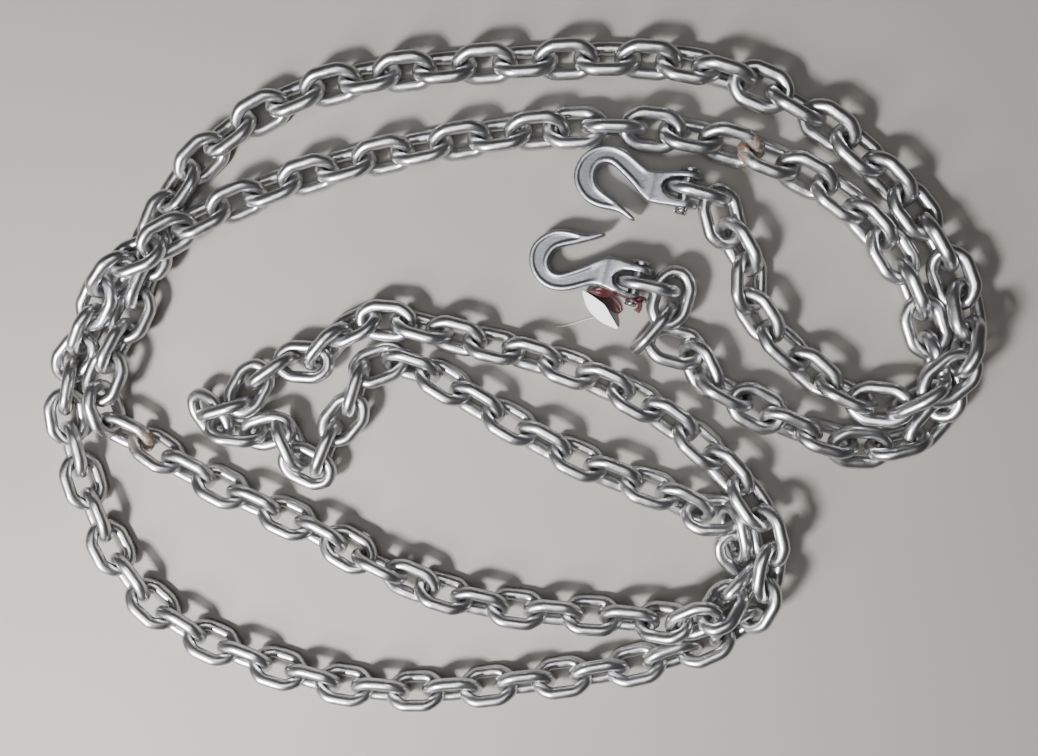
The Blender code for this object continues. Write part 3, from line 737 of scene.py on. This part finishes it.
def pale_cotton(colours):
    """Twisted thread: two strands that wind round each other."""
    look = Finish("pale_thread")
    u, v, _ = look.node("ShaderNodeUVMap", uv_map="UVMap").parts()
    strand = ((u + v * TWIST) * 2 * math.tau).math("SINE") * 0.5 + 0.5
    fuzz = look.noise(2600, 3, 0.7)
    cotton = look.mix(strand, scaled(colours.thread, 0.6), colours.thread)
    return look.give(
        base_color=look.mix(fuzz * 0.35, cotton, scaled(colours.thread, 0.75)),
        roughness=0.7 + fuzz * 0.25, normal=look.bump(strand, 0.0002, 0.6),
    )


def pale_floor(colours):
    """Painted floor, nearly even in colour and matt."""
    look = Finish("pale_floor")
    cloud = look.noise(2.2, 3, 0.5)
    return look.give(
        base_color=look.mix(cloud, scaled(colours.floor, 0.97), scaled(colours.floor, 1.03)),
        roughness=0.62 + cloud * 0.06,
    )


def new_object(name, data):
    """Object of that data, in the scene."""
    obj = bpy.data.objects.new(name, data)
    bpy.context.scene.collection.objects.link(obj)
    return obj


def new_mesh(name, points, faces):
    """Mesh of points in millimetres."""
    mesh = bpy.data.meshes.new(name)
    mesh.from_pydata([[float(v) * MM for v in p] for p in points], [], [list(f) for f in faces])
    return mesh


def closed_mesh(name, points, faces, smooth=40, merge=1e-6):
    """Object of a closed mesh from points in millimetres, its faces turned outwards."""
    mesh = new_mesh(name, points, faces)
    work = bmesh.new()
    work.from_mesh(mesh)
    bmesh.ops.remove_doubles(work, verts=work.verts, dist=merge)
    bmesh.ops.recalc_face_normals(work, faces=work.faces)
    work.to_mesh(mesh)
    work.free()
    shade(mesh, smooth)
    return new_object(name, mesh)


def shade(mesh, degrees):
    mesh.shade_smooth()
    mesh.set_sharp_from_angle(angle=math.radians(degrees))


def apply_modifiers(obj):
    """Makes the object's mesh what its modifiers give, and removes them."""
    graph = bpy.context.evaluated_depsgraph_get()
    mesh = bpy.data.meshes.new_from_object(obj.evaluated_get(graph))
    obj.modifiers.clear()
    old, obj.data = obj.data, mesh
    bpy.data.meshes.remove(old)
    mesh.name = obj.name


def combine(base, others, operation):
    """Applies a Boolean of each other object to the base object, then removes those objects."""
    for other in others:
        other.hide_render = True
        cut = base.modifiers.new(other.name, "BOOLEAN")
        cut.operation = operation
        cut.solver = "EXACT"
        cut.object = other
    apply_modifiers(base)
    for other in others:
        bpy.data.objects.remove(other)


def settle_in(obj, matrix):
    """Moves the object's mesh to its place, while the object stays at the origin."""
    obj.data.transform(matrix)
    obj.data.update()


def finished(obj, body, slot, look, *nodes):
    """Gives a finished piece its material, its body and the nodes that it stands for."""
    obj.data.materials.clear()
    obj.data.materials.append(look)
    if body:
        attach(obj, body)
    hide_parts(*nodes)


def grid_faces(rows, columns, ring=False):
    """Faces between rows of points. A row that is a ring closes, and both end rings get a face."""
    faces = []
    if ring:
        faces = [tuple(range(columns)), tuple(range((rows - 1) * columns, rows * columns))]
    for row in range(rows - 1):
        for k in range(columns if ring else columns - 1):
            a, b = row * columns + k, row * columns + (k + 1) % columns
            faces.append((a, b, b + columns, a + columns))
    return faces


def steps_along(path):
    """Distance from each point of a path to the next."""
    return np.linalg.norm(np.diff(path, axis=0), axis=1)


def placed(points):
    """Points of the route, moved to where the frame has it, in millimetres."""
    return np.array(points) + np.array(SHIFT)


def spline_points(fours, steps):
    """Points of the smooth lines between the second and third of every four points in a row."""
    t = (np.arange(steps) / steps)[None, :, None]
    a, b, c, d = (points[:, None] for points in fours)
    line = 0.5 * (
        2 * b + (c - a) * t + (2 * a - 5 * b + 4 * c - d) * t**2 + (3 * b - a - 3 * c + d) * t**3
    )
    return line.reshape(-1, b.shape[-1])


def closed_spline(outline, steps):
    """Smooth closed line through the outline's points."""
    points = np.array(outline, float)
    return spline_points([np.roll(points, k, axis=0) for k in (1, 0, -1, -2)], steps)


def open_spline(rows, steps):
    """Smooth line through rows of numbers, from the first row to the last."""
    rows = np.array(rows, float)
    ends = np.vstack([2 * rows[0] - rows[1], rows, 2 * rows[-1] - rows[-2]])
    line = spline_points([ends[k : k + len(rows) - 1] for k in range(4)], steps)
    return np.vstack([line, rows[-1]])


def edge_distance(points, outline):
    """Distance of each point from a closed outline, in its plane."""
    start, way = outline, np.roll(outline, -1, axis=0) - outline
    best = np.full(len(points), 1e9)
    for p, d in zip(start, way):
        rel = points - p
        t = np.clip(rel @ d / (d @ d), 0, 1)
        best = np.minimum(best, np.linalg.norm(rel - t[:, None] * d, axis=1))
    return best


def inside(points, outline):
    """Which points lie inside a closed outline."""
    found = np.zeros(len(points), bool)
    for (x1, y1), (x2, y2) in zip(outline, np.roll(outline, -1, axis=0)):
        crosses = (y1 > points[:, 1]) != (y2 > points[:, 1])
        with np.errstate(divide="ignore", invalid="ignore"):
            at = x1 + (points[:, 1] - y1) * (x2 - x1) / (y2 - y1)
        found ^= crosses & (points[:, 0] < at)
    return found


def smooth_step(value, low, high):
    t = np.clip((value - low) / (high - low), 0, 1)
    return t * t * (3 - 2 * t)


# How softly the plate's face runs into the slope of the ears, in millimetres
MELT = 2.0
# Where along the hook the web begins, and how wide the slope is from its rim down to it
WEB_START = (27, 36)
WEB_SLOPE = 1.5
# Depths of the rows of points inside the outline, and the grid of points deeper than them
ROW_DEPTHS = (0.3, 0.8, 1.5, 2.3, 3.0, 3.7, 4.5, 5.6, 7.0)
GRID_DEPTH = 7.6
GRID_STEP = 1.7
# Smoothing of the whole skin, and more of the clevis up to where it runs out along the shank
SKIN_TURNS = 6
CLEVIS_TURNS = 26
CLEVIS_END = (30, 40)
# How far below the plate's face a point still belongs to the web
WEB_REACH = 3


def web_share(points, depth, sizes):
    """How far the web has sunk, from 0 on the rim and by the clevis to 1 in the web."""
    rim = sizes.rim_width / MM
    return smooth_step(depth, rim, rim + WEB_SLOPE) * smooth_step(points[:, 0], *WEB_START)


def face_height(points, depth, sizes):
    """Height of a forging's face at a distance from its outline: rounded edge, rim, then web."""
    edge = sizes.edge_radius / MM
    (far, low), (near, high) = EAR_SIDE[-2:]
    ears = low + (high - low) * (far - points[:, 0]) / (far - near)
    close = np.maximum(MELT - abs(HALF_THICK - ears), 0)
    top = np.maximum(HALF_THICK, ears) + close**2 / (4 * MELT)
    rounded = top - edge + np.sqrt(np.maximum(edge**2 - np.maximum(edge - depth, 0) ** 2, 0))
    return rounded - sizes.web_depth / MM * web_share(points, depth, sizes)


def forged_plate(name, outline, sizes):
    """Closed mesh of the hook's flat part, with its rounded edge, raised rim and sunk web."""
    line = closed_spline(outline, 5)
    way = unit(np.roll(line, -1, axis=0) - np.roll(line, 1, axis=0))
    area = np.sum(line[:, 0] * np.roll(line[:, 1], -1) - line[:, 1] * np.roll(line[:, 0], -1))
    inward = np.stack([-way[:, 1], way[:, 0]], 1) * np.sign(area)
    flat = [line]
    for depth in ROW_DEPTHS:
        row = line + inward * depth
        flat.append(row[abs(edge_distance(row, line) - depth) < 0.03 * depth + 0.02])
    low, high = line.min(0), line.max(0)
    grid = np.stack(np.meshgrid(
        np.arange(low[0], high[0], GRID_STEP), np.arange(low[1], high[1], GRID_STEP)
    ), -1).reshape(-1, 2)
    grid = grid[inside(grid, line)]
    flat.append(grid[edge_distance(grid, line) > GRID_DEPTH])
    flat = np.vstack(flat)
    flat = flat[inside(flat, line) | (np.arange(len(flat)) < len(line))]
    made = delaunay_2d_cdt([Vector(p) for p in flat], [], [list(range(len(line)))], 1, 1e-5)
    points, cells = np.array([tuple(p) for p in made[0]]), made[2]
    depth = edge_distance(points, line)
    height = face_height(points, depth, sizes)
    count = len(points)
    whole = np.vstack([
        np.column_stack([points, height]), np.column_stack([points, -height])
    ])
    faces = [list(c) for c in cells] + [[i + count for i in reversed(c)] for c in cells]
    uses = {}
    for cell in cells:
        for k in range(len(cell)):
            uses.setdefault(frozenset((cell[k], cell[k - 1])), []).append((cell[k - 1], cell[k]))
    faces += [
        [b, a, a + count, b + count] for ((a, b), *more) in uses.values() if not more
    ]
    return closed_mesh(name, whole, faces), line


def prism(name, outline, low, high, upright=False):
    """Outline extruded along Z, or along Y when upright, where the outline is in X and Z."""
    points = [
        (a, level, b) if upright else (a, b, level) for level in (low, high) for a, b in outline
    ]
    return closed_mesh(name, points, grid_faces(2, len(outline), ring=True))


def lathe(name, profile, sides=40):
    """Closed body turned about Y from rows of place along it and radius."""
    angles = [math.tau * k / sides for k in range(sides)]
    points = [(r * math.cos(a), y, r * math.sin(a)) for y, r in profile for a in angles]
    return closed_mesh(name, points, grid_faces(len(profile), sides, ring=True), smooth=35)


def sweep(name, path, radius, sides=12):
    """Closed round body along a path. Its UV map has the share of a turn, and metres along it."""
    path = np.array(path, float)
    way = unit(np.gradient(path, axis=0))
    side = unit(np.cross(way[0], [0.3, 0.2, 1.0]))
    rings = []
    for p, d in zip(path, way):
        side = unit(side - (side @ d) * d)
        up = np.cross(d, side)
        angles = math.tau * np.arange(sides) / sides
        rings.append(p + radius * (np.outer(np.cos(angles), side) + np.outer(np.sin(angles), up)))
    faces = grid_faces(len(path), sides, ring=True)
    obj = closed_mesh(name, np.vstack(rings), faces, smooth=50, merge=1e-9)
    length = np.concatenate([[0], np.cumsum(steps_along(path))]) * MM
    layer = obj.data.uv_layers.new(name="UVMap")
    for face in obj.data.polygons:
        corners = [divmod(obj.data.loops[i].vertex_index, sides) for i in face.loop_indices]
        wraps = {k for _, k in corners} >= {0, sides - 1}
        for i, (row, k) in zip(face.loop_indices, corners):
            turn = (k + sides if wraps and k == 0 else k) / sides
            layer.data[i].uv = (turn, length[row])
    return obj


def hook_frame(hook, tilt=HOOK_TILT):
    """Matrix, in metres, of a hook's own place at its pin."""
    way = math.radians(hook["way"])
    x = Vector((math.cos(way), math.sin(way), 0))
    z = Vector((0, 0, hook["up"]))
    turn = Matrix((x, z.cross(x), z)).transposed().to_4x4()
    lean = Matrix.Rotation(math.radians(tilt) * hook["up"], 4, "Y")
    middle = Vector((*hook["pin"], PIN_HEIGHT)) + SHIFT
    return Matrix.Translation(middle * MM) @ turn @ lean


# Sizes that the links' node group takes, and their kinds
LINK_INPUTS = {
    "wire_radius": "Float", "ring_length": "Float", "ring_width": "Float", "bend_radius": "Float",
    "weld_height": "Float", "end_taper": "Float", "ring_points": "Int", "wire_points": "Int",
    "seed": "Int",
}
# Where in a ring's corners the taper begins, and how fast the weld's swelling falls off beside it
TAPER_START = 0.43
WELD_FALL = -3.2e5


def link_tree():
    """Geometry Nodes that bend one link from wire and set it on every point."""
    tree = bpy.data.node_groups.new("Chain links", "GeometryNodeTree")
    for name, kind in {"geometry": "Geometry", **LINK_INPUTS, "steel": "Material"}.items():
        tree.interface.new_socket(title(name), in_out="INPUT", socket_type="NodeSocket" + kind)
    tree.interface.new_socket("Geometry", in_out="OUTPUT", socket_type="NodeSocketGeometry")
    given = tree.nodes.new("NodeGroupInput").outputs

    def put(kind, inputs=None, output=0, **settings):
        return add_node(tree, "GeometryNode" + kind, inputs, **settings).outputs[output]

    box = put("CurvePrimitiveQuadrilateral", {
        "Width": given["Ring Length"], "Height": given["Ring Width"],
    })
    bent = put("FilletCurve", {
        "Curve": box, "Radius": given["Bend Radius"], "Limit Radius": True, "Count": 10,
    }, mode="POLY")
    even = put("ResampleCurve", {"Curve": bent, "Count": given["Ring Points"]})
    place = put("InputPosition")
    x, y, _ = Term(place).parts()
    quarter = Term(given["Ring Length"]) * given["Ring Width"] * 0.25
    corner = ((x * y).math("ABSOLUTE") / quarter - TAPER_START).math("MAXIMUM", 0.0)
    drawn = add_node(tree, "ShaderNodeVectorMath", {
        0: place, "Scale": 1 - corner * given["End Taper"],
    }, operation="SCALE").outputs[0]
    ring = put("SetPosition", {"Geometry": even, "Position": drawn})
    weld = (x * x * WELD_FALL).math("EXPONENT") * y.math("GREATER_THAN", 0.0)
    round_wire = put("CurvePrimitiveCircle", {
        "Resolution": given["Wire Points"], "Radius": given["Wire Radius"],
    })
    wire = put("CurveToMesh", {
        "Curve": ring, "Profile Curve": round_wire,
        "Scale": weld * given["Weld Height"] + 1,
    })
    marked = put("StoreNamedAttribute", {
        "Geometry": wire, "Name": "place", "Value": put("InputPosition"),
    }, data_type="FLOAT_VECTOR", domain="POINT")
    smooth = put("SetShadeSmooth", {"Geometry": marked})
    links = put("InstanceOnPoints", {
        "Points": given["Geometry"], "Instance": smooth,
        "Rotation": put("InputNamedAttribute", {"Name": "turn"}, data_type="QUATERNION"),
    })
    tone = add_node(
        tree, "FunctionNodeRandomValue", {"Seed": given["Seed"]}, data_type="FLOAT"
    ).outputs[1]
    toned = put("StoreNamedAttribute", {
        "Geometry": links, "Name": "tone", "Value": tone,
    }, data_type="FLOAT", domain="INSTANCE")
    whole = put("RealizeInstances", {"Geometry": toned})
    made = put("SetMaterial", {"Geometry": whole, "Material": given["Steel"]})
    tree.links.new(made, tree.nodes.new("NodeGroupOutput").inputs[0])
    return tree


class CHAIN_OT_links(bpy.types.Operator):
    """Lays the links along their route, each in its neighbours, as one body"""

    bl_idname = "chain.links"
    bl_label = "Chain links"

    def execute(self, context):
        sizes = context.scene.chain_link_sizes
        reach = LINK_HALF_LENGTH - PIN_TO_WIRE
        ends = []
        for hook, way, sign in ((HOOK_A, FIRST_LINK_WAY, 1), (HOOK_B, LAST_LINK_WAY, -1)):
            angle = math.radians(way)
            heading = np.array([math.cos(angle), math.sin(angle), 0.0])
            ends.append((np.array([*hook["pin"], PIN_HEIGHT]) + sign * reach * heading, heading))
        centre, axes = settle_links(*ends)
        mesh = bpy.data.meshes.new("chain_links")
        mesh.from_pydata([(Vector(c) + SHIFT) * MM for c in centre], [], [])
        turn = mesh.attributes.new("turn", "QUATERNION", "POINT")
        for i, axis in enumerate(zip(*axes)):
            rows = Matrix([tuple(map(float, v)) for v in axis])
            turn.data[i].value = rows.transposed().to_quaternion()
        rust = mesh.attributes.new("rust", "FLOAT", "POINT")
        for i in range(LINKS):
            rust.data[i].value = RUSTY.get(i, 0.0)
        chain = new_object("chain_links", mesh)
        steel = bright_steel(context.scene.chain_colours)
        layout = chain.modifiers.new("Chain links", "NODES")
        layout.node_group = link_tree()
        values = {title(name): getattr(sizes, name) for name in LINK_INPUTS} | {"Steel": steel}
        for item in layout.node_group.interface.items_tree:
            if item.in_out == "INPUT" and item.name in values:
                layout[item.identifier] = values[item.name]
        apply_modifiers(chain)
        chain.data.attributes.remove(chain.data.attributes["turn"])
        runs = [name for name in frame["nodes"] if name.startswith("chain_run_")]
        finished(chain, "chain", "bright_steel", steel, *runs)
        return {"FINISHED"}


def round_off(obj, whole, none, turns):
    """Rounds the mesh more where its X lies below one place, and not at all beyond another."""
    group = obj.vertex_groups.new(name="clevis")
    for point in obj.data.vertices:
        share = 1 - float(smooth_step(point.co.x / MM, whole, none))
        if share > 0:
            group.add([point.index], share, "REPLACE")
    soften = obj.modifiers.new("Round off", "SMOOTH")
    soften.factor, soften.iterations, soften.vertex_group = 0.5, turns, group.name
    apply_modifiers(obj)
    obj.vertex_groups.clear()


class CHAIN_OT_grab_hooks(bpy.types.Operator):
    """Forges both grab hooks: the flat hook with its rim and web, and the clevis ears"""

    bl_idname = "chain.grab_hooks"
    bl_label = "Grab hooks"

    def execute(self, context):
        sizes = context.scene.chain_hook_sizes
        look = forged_steel(context.scene.chain_colours)
        for suffix, hook in (("a", HOOK_A), ("b", HOOK_B)):
            forging, line = forged_plate(f"hook_{suffix}_forging", BODY, sizes)
            ears = prism("ears", EARS, -HALF_EARS, HALF_EARS)
            side = closed_spline(EAR_SIDE, 4)
            combine(ears, [prism("ear_side", side, -PAST, PAST, upright=True)], "INTERSECT")
            combine(forging, [ears], "UNION")
            bore = lathe("bore", [(-PAST, PIN_RADIUS + PIN_PLAY), (PAST, PIN_RADIUS + PIN_PLAY)])
            combine(forging, [bore], "DIFFERENCE")
            skin = forging.modifiers.new("Skin", "REMESH")
            skin.mode, skin.voxel_size = "VOXEL", sizes.grain
            soften = forging.modifiers.new("Soften", "SMOOTH")
            soften.factor, soften.iterations = 0.5, SKIN_TURNS
            apply_modifiers(forging)
            round_off(forging, *CLEVIS_END, CLEVIS_TURNS)
            mesh = forging.data
            at = np.empty(len(mesh.vertices) * 3, np.float32)
            mesh.vertices.foreach_get("co", at)
            at = at.reshape(-1, 3) / MM
            depth = np.where(inside(at[:, :2], line), edge_distance(at[:, :2], line), 0)
            sunk = web_share(at, depth, sizes) * (abs(at[:, 2]) > HALF_THICK - WEB_REACH)
            mesh.attributes.new("web", "FLOAT", "POINT").data.foreach_set(
                "value", sunk.astype(np.float32)
            )
            mesh.shade_smooth()
            settle_in(forging, hook_frame(hook))
            finished(forging, f"hook_{suffix}", "forged_steel", look, f"grab_hook_{suffix}")
        return {"FINISHED"}


class CHAIN_OT_clevis_pins(bpy.types.Operator):
    """Turns the two clevis pins with their heads, and bends the split pin through each tail"""

    bl_idname = "chain.clevis_pins"
    bl_label = "Clevis pins and split pins"

    def execute(self, context):
        look = pin_steel(context.scene.chain_colours)
        for suffix, hook in (("a", HOOK_A), ("b", HOOK_B)):
            side = hook["head"]
            near, far = EAR_OUTSIDE if side < 0 else EAR_OUTSIDE[::-1]
            under, over = near + side * HEAD_PLAY, near + side * (HEAD_PLAY + HEAD[1])
            tail, cross, top = far - side * TAIL, far - side * SPLIT_IN_TAIL, hook["up"]
            # Place along the pin and radius: domed head, shank, the ring beside the hole, and tail
            profile = [
                (over, 4.6), (over - side * 0.35, 6.4), (over - side * 1.1, HEAD[0]),
                (under + side * 0.4, HEAD[0]), (under, HEAD[0] - 0.5), (under, PIN_RADIUS + 0.2),
                (under - side * 0.5, PIN_RADIUS), (cross + side * 2.2, PIN_RADIUS),
                (tail + side * 0.75, PIN_RADIUS), (tail, PIN_RADIUS - 0.9),
            ]
            pin = lathe(f"clevis_{suffix}_pin", profile)
            hole = lathe("hole", [(-PAST, SPLIT_HOLE), (PAST, SPLIT_HOLE)], 24)
            upright = Matrix.Rotation(math.pi / 2, 4, "X")
            settle_in(hole, Matrix.Translation((0, cross * MM, 0)) @ upright)
            combine(pin, [hole], "DIFFERENCE")
            settle_in(pin, hook_frame(hook, 0))
            finished(pin, "chain", "pin_steel", look, f"clevis_pin_{suffix}")

            # One half of the split pin from the tip of its leg up to the neck of its eye
            leg = [
                (-LEG_SPREAD, -EYE_HEIGHT + 0.2), (-2.6, -7.6), (-0.95, -6.3), (-0.62, -5.0),
                (-0.6, 0.0), (-0.62, 4.6), (-1.2, 5.6),
            ]
            eye = [
                (EYE_RADIUS * math.sin(a), EYE_HEIGHT - EYE_RADIUS * math.cos(a))
                for a in np.radians(np.arange(-50, -311, -20))
            ]
            bend = leg + eye + [(-x, z) for x, z in reversed(leg)]
            path = open_spline([(x, cross, z * top) for x, z in bend], 4)
            split = sweep(f"split_{suffix}_pin", path, SPLIT_WIRE)
            settle_in(split, hook_frame(hook, 0))
            finished(split, "chain", "pin_steel", look, f"split_pin_{suffix}")
        return {"FINISHED"}


def cloth_strip(name, rows, half_widths, across, folds, depth, columns=13):
    """Open strip of cloth along rows, gathered into folds. Its UV map is the cloth in metres."""
    way = unit(np.gradient(rows, axis=0))
    square = unit(np.cross(way, across))
    t = np.linspace(-1, 1, columns)
    points = (
        rows[:, None]
        + across[:, None] * (half_widths[:, None] * t)[..., None]
        + square[:, None] * (depth[:, None] * np.cos(t * folds[:, None] * math.pi))[..., None]
    )
    mesh = new_mesh(name, placed(points.reshape(-1, 3)), grid_faces(len(rows), columns))
    length = np.concatenate([[0], np.cumsum(steps_along(rows))])
    layer = mesh.uv_layers.new(name="UVMap")
    for loop in mesh.loops:
        row, column = divmod(loop.vertex_index, columns)
        layer.data[loop.index].uv = (t[column] * half_widths[row] * MM, length[row] * MM)
    return new_object(name, mesh)


def thicken(obj, thickness):
    """Gives an open sheet its thickness, half of it on each side."""
    solid = obj.modifiers.new("Thickness", "SOLIDIFY")
    solid.thickness, solid.offset = thickness, 0.0
    apply_modifiers(obj)
    obj.data.shade_smooth()


class CHAIN_OT_tag(bpy.types.Operator):
    """Bends the blank card between its two tips and stands it on its lower edge"""

    bl_idname = "chain.tag"
    bl_label = "Tag"

    def execute(self, context):
        low, top = open_spline(TAG_LOW, 5), open_spline(TAG_TOP, 5)
        t = np.linspace(0, 1, CARD_ROWS)[:, None, None]
        square = unit(np.cross(np.gradient((low + top) / 2, axis=0), top - low))
        width = np.linalg.norm(top - low, axis=1)[:, None]
        bulge = CARD_BULGE * np.sin(math.pi * t) * width / CARD_WIDTH
        points = low * (1 - t) + top * t + square * bulge
        faces = grid_faces(CARD_ROWS, points.shape[1])
        card = new_object("tag_card", new_mesh("tag_card", placed(points.reshape(-1, 3)), faces))
        thicken(card, context.scene.chain_soft_sizes.card_thickness)
        shade(card.data, 50)
        look = white_card(context.scene.chain_colours)
        finished(card, "hook_b", "white_paper", look, "paper_tag")
        return {"FINISHED"}


# Ribbon as it lies: middle of the strip and half its width, from its free end to its hanging tail
CLOTH = [
    (99.5, 63, 1.2, 2.0), (96, 67, 1.7, 4.4), (91.5, 71.3, 2.2, 5.3), (86, 74.8, 3.0, 4.6),
    (80.5, 77.0, 4.6, 2.8), (75.8, 77.9, 7.4, 1.2), (76.8, 79.4, 9.6, 1.4), (81, 79.7, 10.4, 3.0),
    (85.4, 79.2, 12.6, 3.6), (88.6, 78.8, 17.5, 2.9), (91.4, 78.9, 23.5, 1.8), (94.6, 79, 29, 1.3),
    (98.4, 78.2, 31, 1.2), (103, 76.6, 31.6, 1.1), (107, 75.5, 31.7, 1.0), (110.5, 74.5, 31.2, 1.0),
    (113.4, 73.2, 30.2, 0.9), (114.2, 70.8, 28.4, 1.5), (113.6, 68.2, 25.4, 2.0),
    (112.6, 66, 21.4, 2.3), (111.6, 64.6, 17, 2.5),
]
# Half widths between which the ribbon is gathered
GATHERED = (1.6, 3.6)
# Knot: its middle, its size, the shares of it along X, Y and Z, and the radius of its strand
KNOT_AT = (113, 73.6, 30.8)
KNOT_SIZE = 1.25
KNOT_SHARES = (1.0, 0.75, 0.8)
KNOT_STRAND = 0.95


class CHAIN_OT_ribbon(bpy.types.Operator):
    """Lays the ribbon in two flat loops beside the tag, gathers it over the clevis and knots it"""

    bl_idname = "chain.ribbon"
    bl_label = "Ribbon"

    def execute(self, context):
        look = red_cloth(context.scene.chain_colours)
        rows = open_spline(CLOTH, 6)
        middle, half = rows[:, :3], rows[:, 3]
        across = unit(np.cross([0.0, 0.0, 1.0], np.gradient(middle, axis=0)))
        gathered = 1 - smooth_step(half, *GATHERED)
        folds, depth = 2 + 2 * gathered, 0.15 + 0.4 * gathered
        ribbon = cloth_strip("ribbon", middle, half, across, folds, depth)
        thicken(ribbon, context.scene.chain_soft_sizes.ribbon_thickness)
        finished(ribbon, None, "red_ribbon", look, "red_ribbon")
        turn = np.linspace(0, math.tau, 61)
        loop = np.stack([
            np.sin(turn) + 2 * np.sin(2 * turn), np.cos(turn) - 2 * np.cos(2 * turn),
            -np.sin(3 * turn),
        ], 1) * KNOT_SIZE * np.array(KNOT_SHARES)
        knot = sweep("ribbon_knot", placed(loop[:-1] + np.array(KNOT_AT)), KNOT_STRAND, 10)
        finished(knot, None, "red_ribbon", look)
        for piece in (ribbon, knot):
            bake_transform(piece)
        return {"FINISHED"}


class CHAIN_OT_thread(bpy.types.Operator):
    """Lays the tag's thread on the floor"""

    bl_idname = "chain.thread"
    bl_label = "Thread"

    def execute(self, context):
        path = placed(open_spline([(x, y, THREAD_HEIGHT) for x, y in THREAD], 3))
        radius = context.scene.chain_soft_sizes.thread_radius
        thread = sweep("thread", path, radius / MM)
        look = pale_cotton(context.scene.chain_colours)
        finished(thread, "hook_b", "pale_thread", look, "tag_thread")
        path = path * MM
        tuple(path[0])
        [tuple(p) for p in path]
        return {"FINISHED"}


def lamp(name, way, height, distance, size, power):
    """Square soft lamp that looks at the heap: its compass way and its height are in degrees."""
    a, e = math.radians(way), math.radians(height)
    place = Vector((math.cos(a) * math.cos(e), math.sin(a) * math.cos(e), math.sin(e))) * distance
    light = bpy.data.lights.new(name, "AREA")
    light.shape, light.size, light.energy = "SQUARE", size, power
    obj = new_object(name, light)
    obj.location = place
    obj.rotation_euler = (-place).to_track_quat("-Z", "Y").to_euler()


class CHAIN_OT_stage(bpy.types.Operator):
    """Sets the pale floor, the soft lamps and the camera"""

    bl_idname = "chain.stage"
    bl_label = "Stage"

    def execute(self, context):
        scene = context.scene
        sizes = scene.chain_stage_sizes
        sides = 96
        points = [
            (sizes.floor_radius * math.cos(math.tau * k / sides),
             sizes.floor_radius * math.sin(math.tau * k / sides), 0) for k in range(sides)
        ]
        mesh = bpy.data.meshes.new("floor")
        mesh.from_pydata(points, [], [list(range(sides))])
        mesh.materials.append(pale_floor(scene.chain_colours))
        new_object("floor", mesh)

        for name, place in LAMPS.items():
            lamp(f"{name}_lamp", *place, getattr(sizes, f"{name}_power"))
        world = bpy.data.worlds.new("soft_sky")
        world.use_nodes = True
        sky = world.node_tree.nodes["Background"]
        sky.inputs["Color"].default_value = SKY_COLOUR
        sky.inputs["Strength"].default_value = sizes.sky
        scene.world = world

        camera = new_object("camera", bpy.data.cameras.new("camera"))
        tilt = Matrix.Rotation(math.radians(TILT_Y), 4, "Y") @ Matrix.Rotation(
            math.radians(TILT_X), 4, "X"
        )
        camera.matrix_world = Matrix.Translation((Vector(EYE) + SHIFT) * MM) @ tilt
        camera.data.sensor_width = SENSOR_WIDTH
        camera.data.lens = FOCAL / PICTURE_WIDTH * SENSOR_WIDTH
        camera.data.clip_start = 0.01
        scene.camera = camera
        return {"FINISHED"}


OPERATORS = (
    CHAIN_OT_stage, CHAIN_OT_links, CHAIN_OT_grab_hooks, CHAIN_OT_clevis_pins, CHAIN_OT_tag,
    CHAIN_OT_ribbon, CHAIN_OT_thread,
)


class CHAIN_PT_panel(bpy.types.Panel):
    """Lists the pieces of the chain, with their sizes and colours"""

    bl_idname = "CHAIN_PT_panel"
    bl_label = "Steel chain"
    bl_space_type = "VIEW_3D"
    bl_region_type = "UI"
    bl_category = "Chain"

    def draw(self, context):
        for operator in OPERATORS:
            self.layout.operator(operator.bl_idname)
        for name, (_, label) in GROUPS.items():
            group = getattr(context.scene, name)
            box = self.layout.box()
            box.label(text=label)
            for item in group.bl_rna.properties:
                if item.identifier not in ("rna_type", "name"):
                    box.prop(group, item.identifier)


GROUPS = {
    "chain_link_sizes": (ChainLinkSizes, "Links"),
    "chain_hook_sizes": (GrabHookSizes, "Grab hooks"),
    "chain_soft_sizes": (SoftSizes, "Tag, ribbon and thread"),
    "chain_colours": (ChainColours, "Colours"),
    "chain_stage_sizes": (StageSizes, "Stage"),
}


def register():
    for kind, _ in GROUPS.values():
        bpy.utils.register_class(kind)
    for name, (kind, _) in GROUPS.items():
        setattr(bpy.types.Scene, name, bpy.props.PointerProperty(type=kind))
    for kind in (*OPERATORS, CHAIN_PT_panel):
        bpy.utils.register_class(kind)


def unregister():
    for kind in (CHAIN_PT_panel, *reversed(OPERATORS)):
        bpy.utils.unregister_class(kind)
    for name, (kind, _) in reversed(GROUPS.items()):
        delattr(bpy.types.Scene, name)
        bpy.utils.unregister_class(kind)


def main():
    register()
    for operator in OPERATORS:
        group, name = operator.bl_idname.split(".")
        getattr(getattr(bpy.ops, group), name)()


if __name__ == "__main__":
    main()
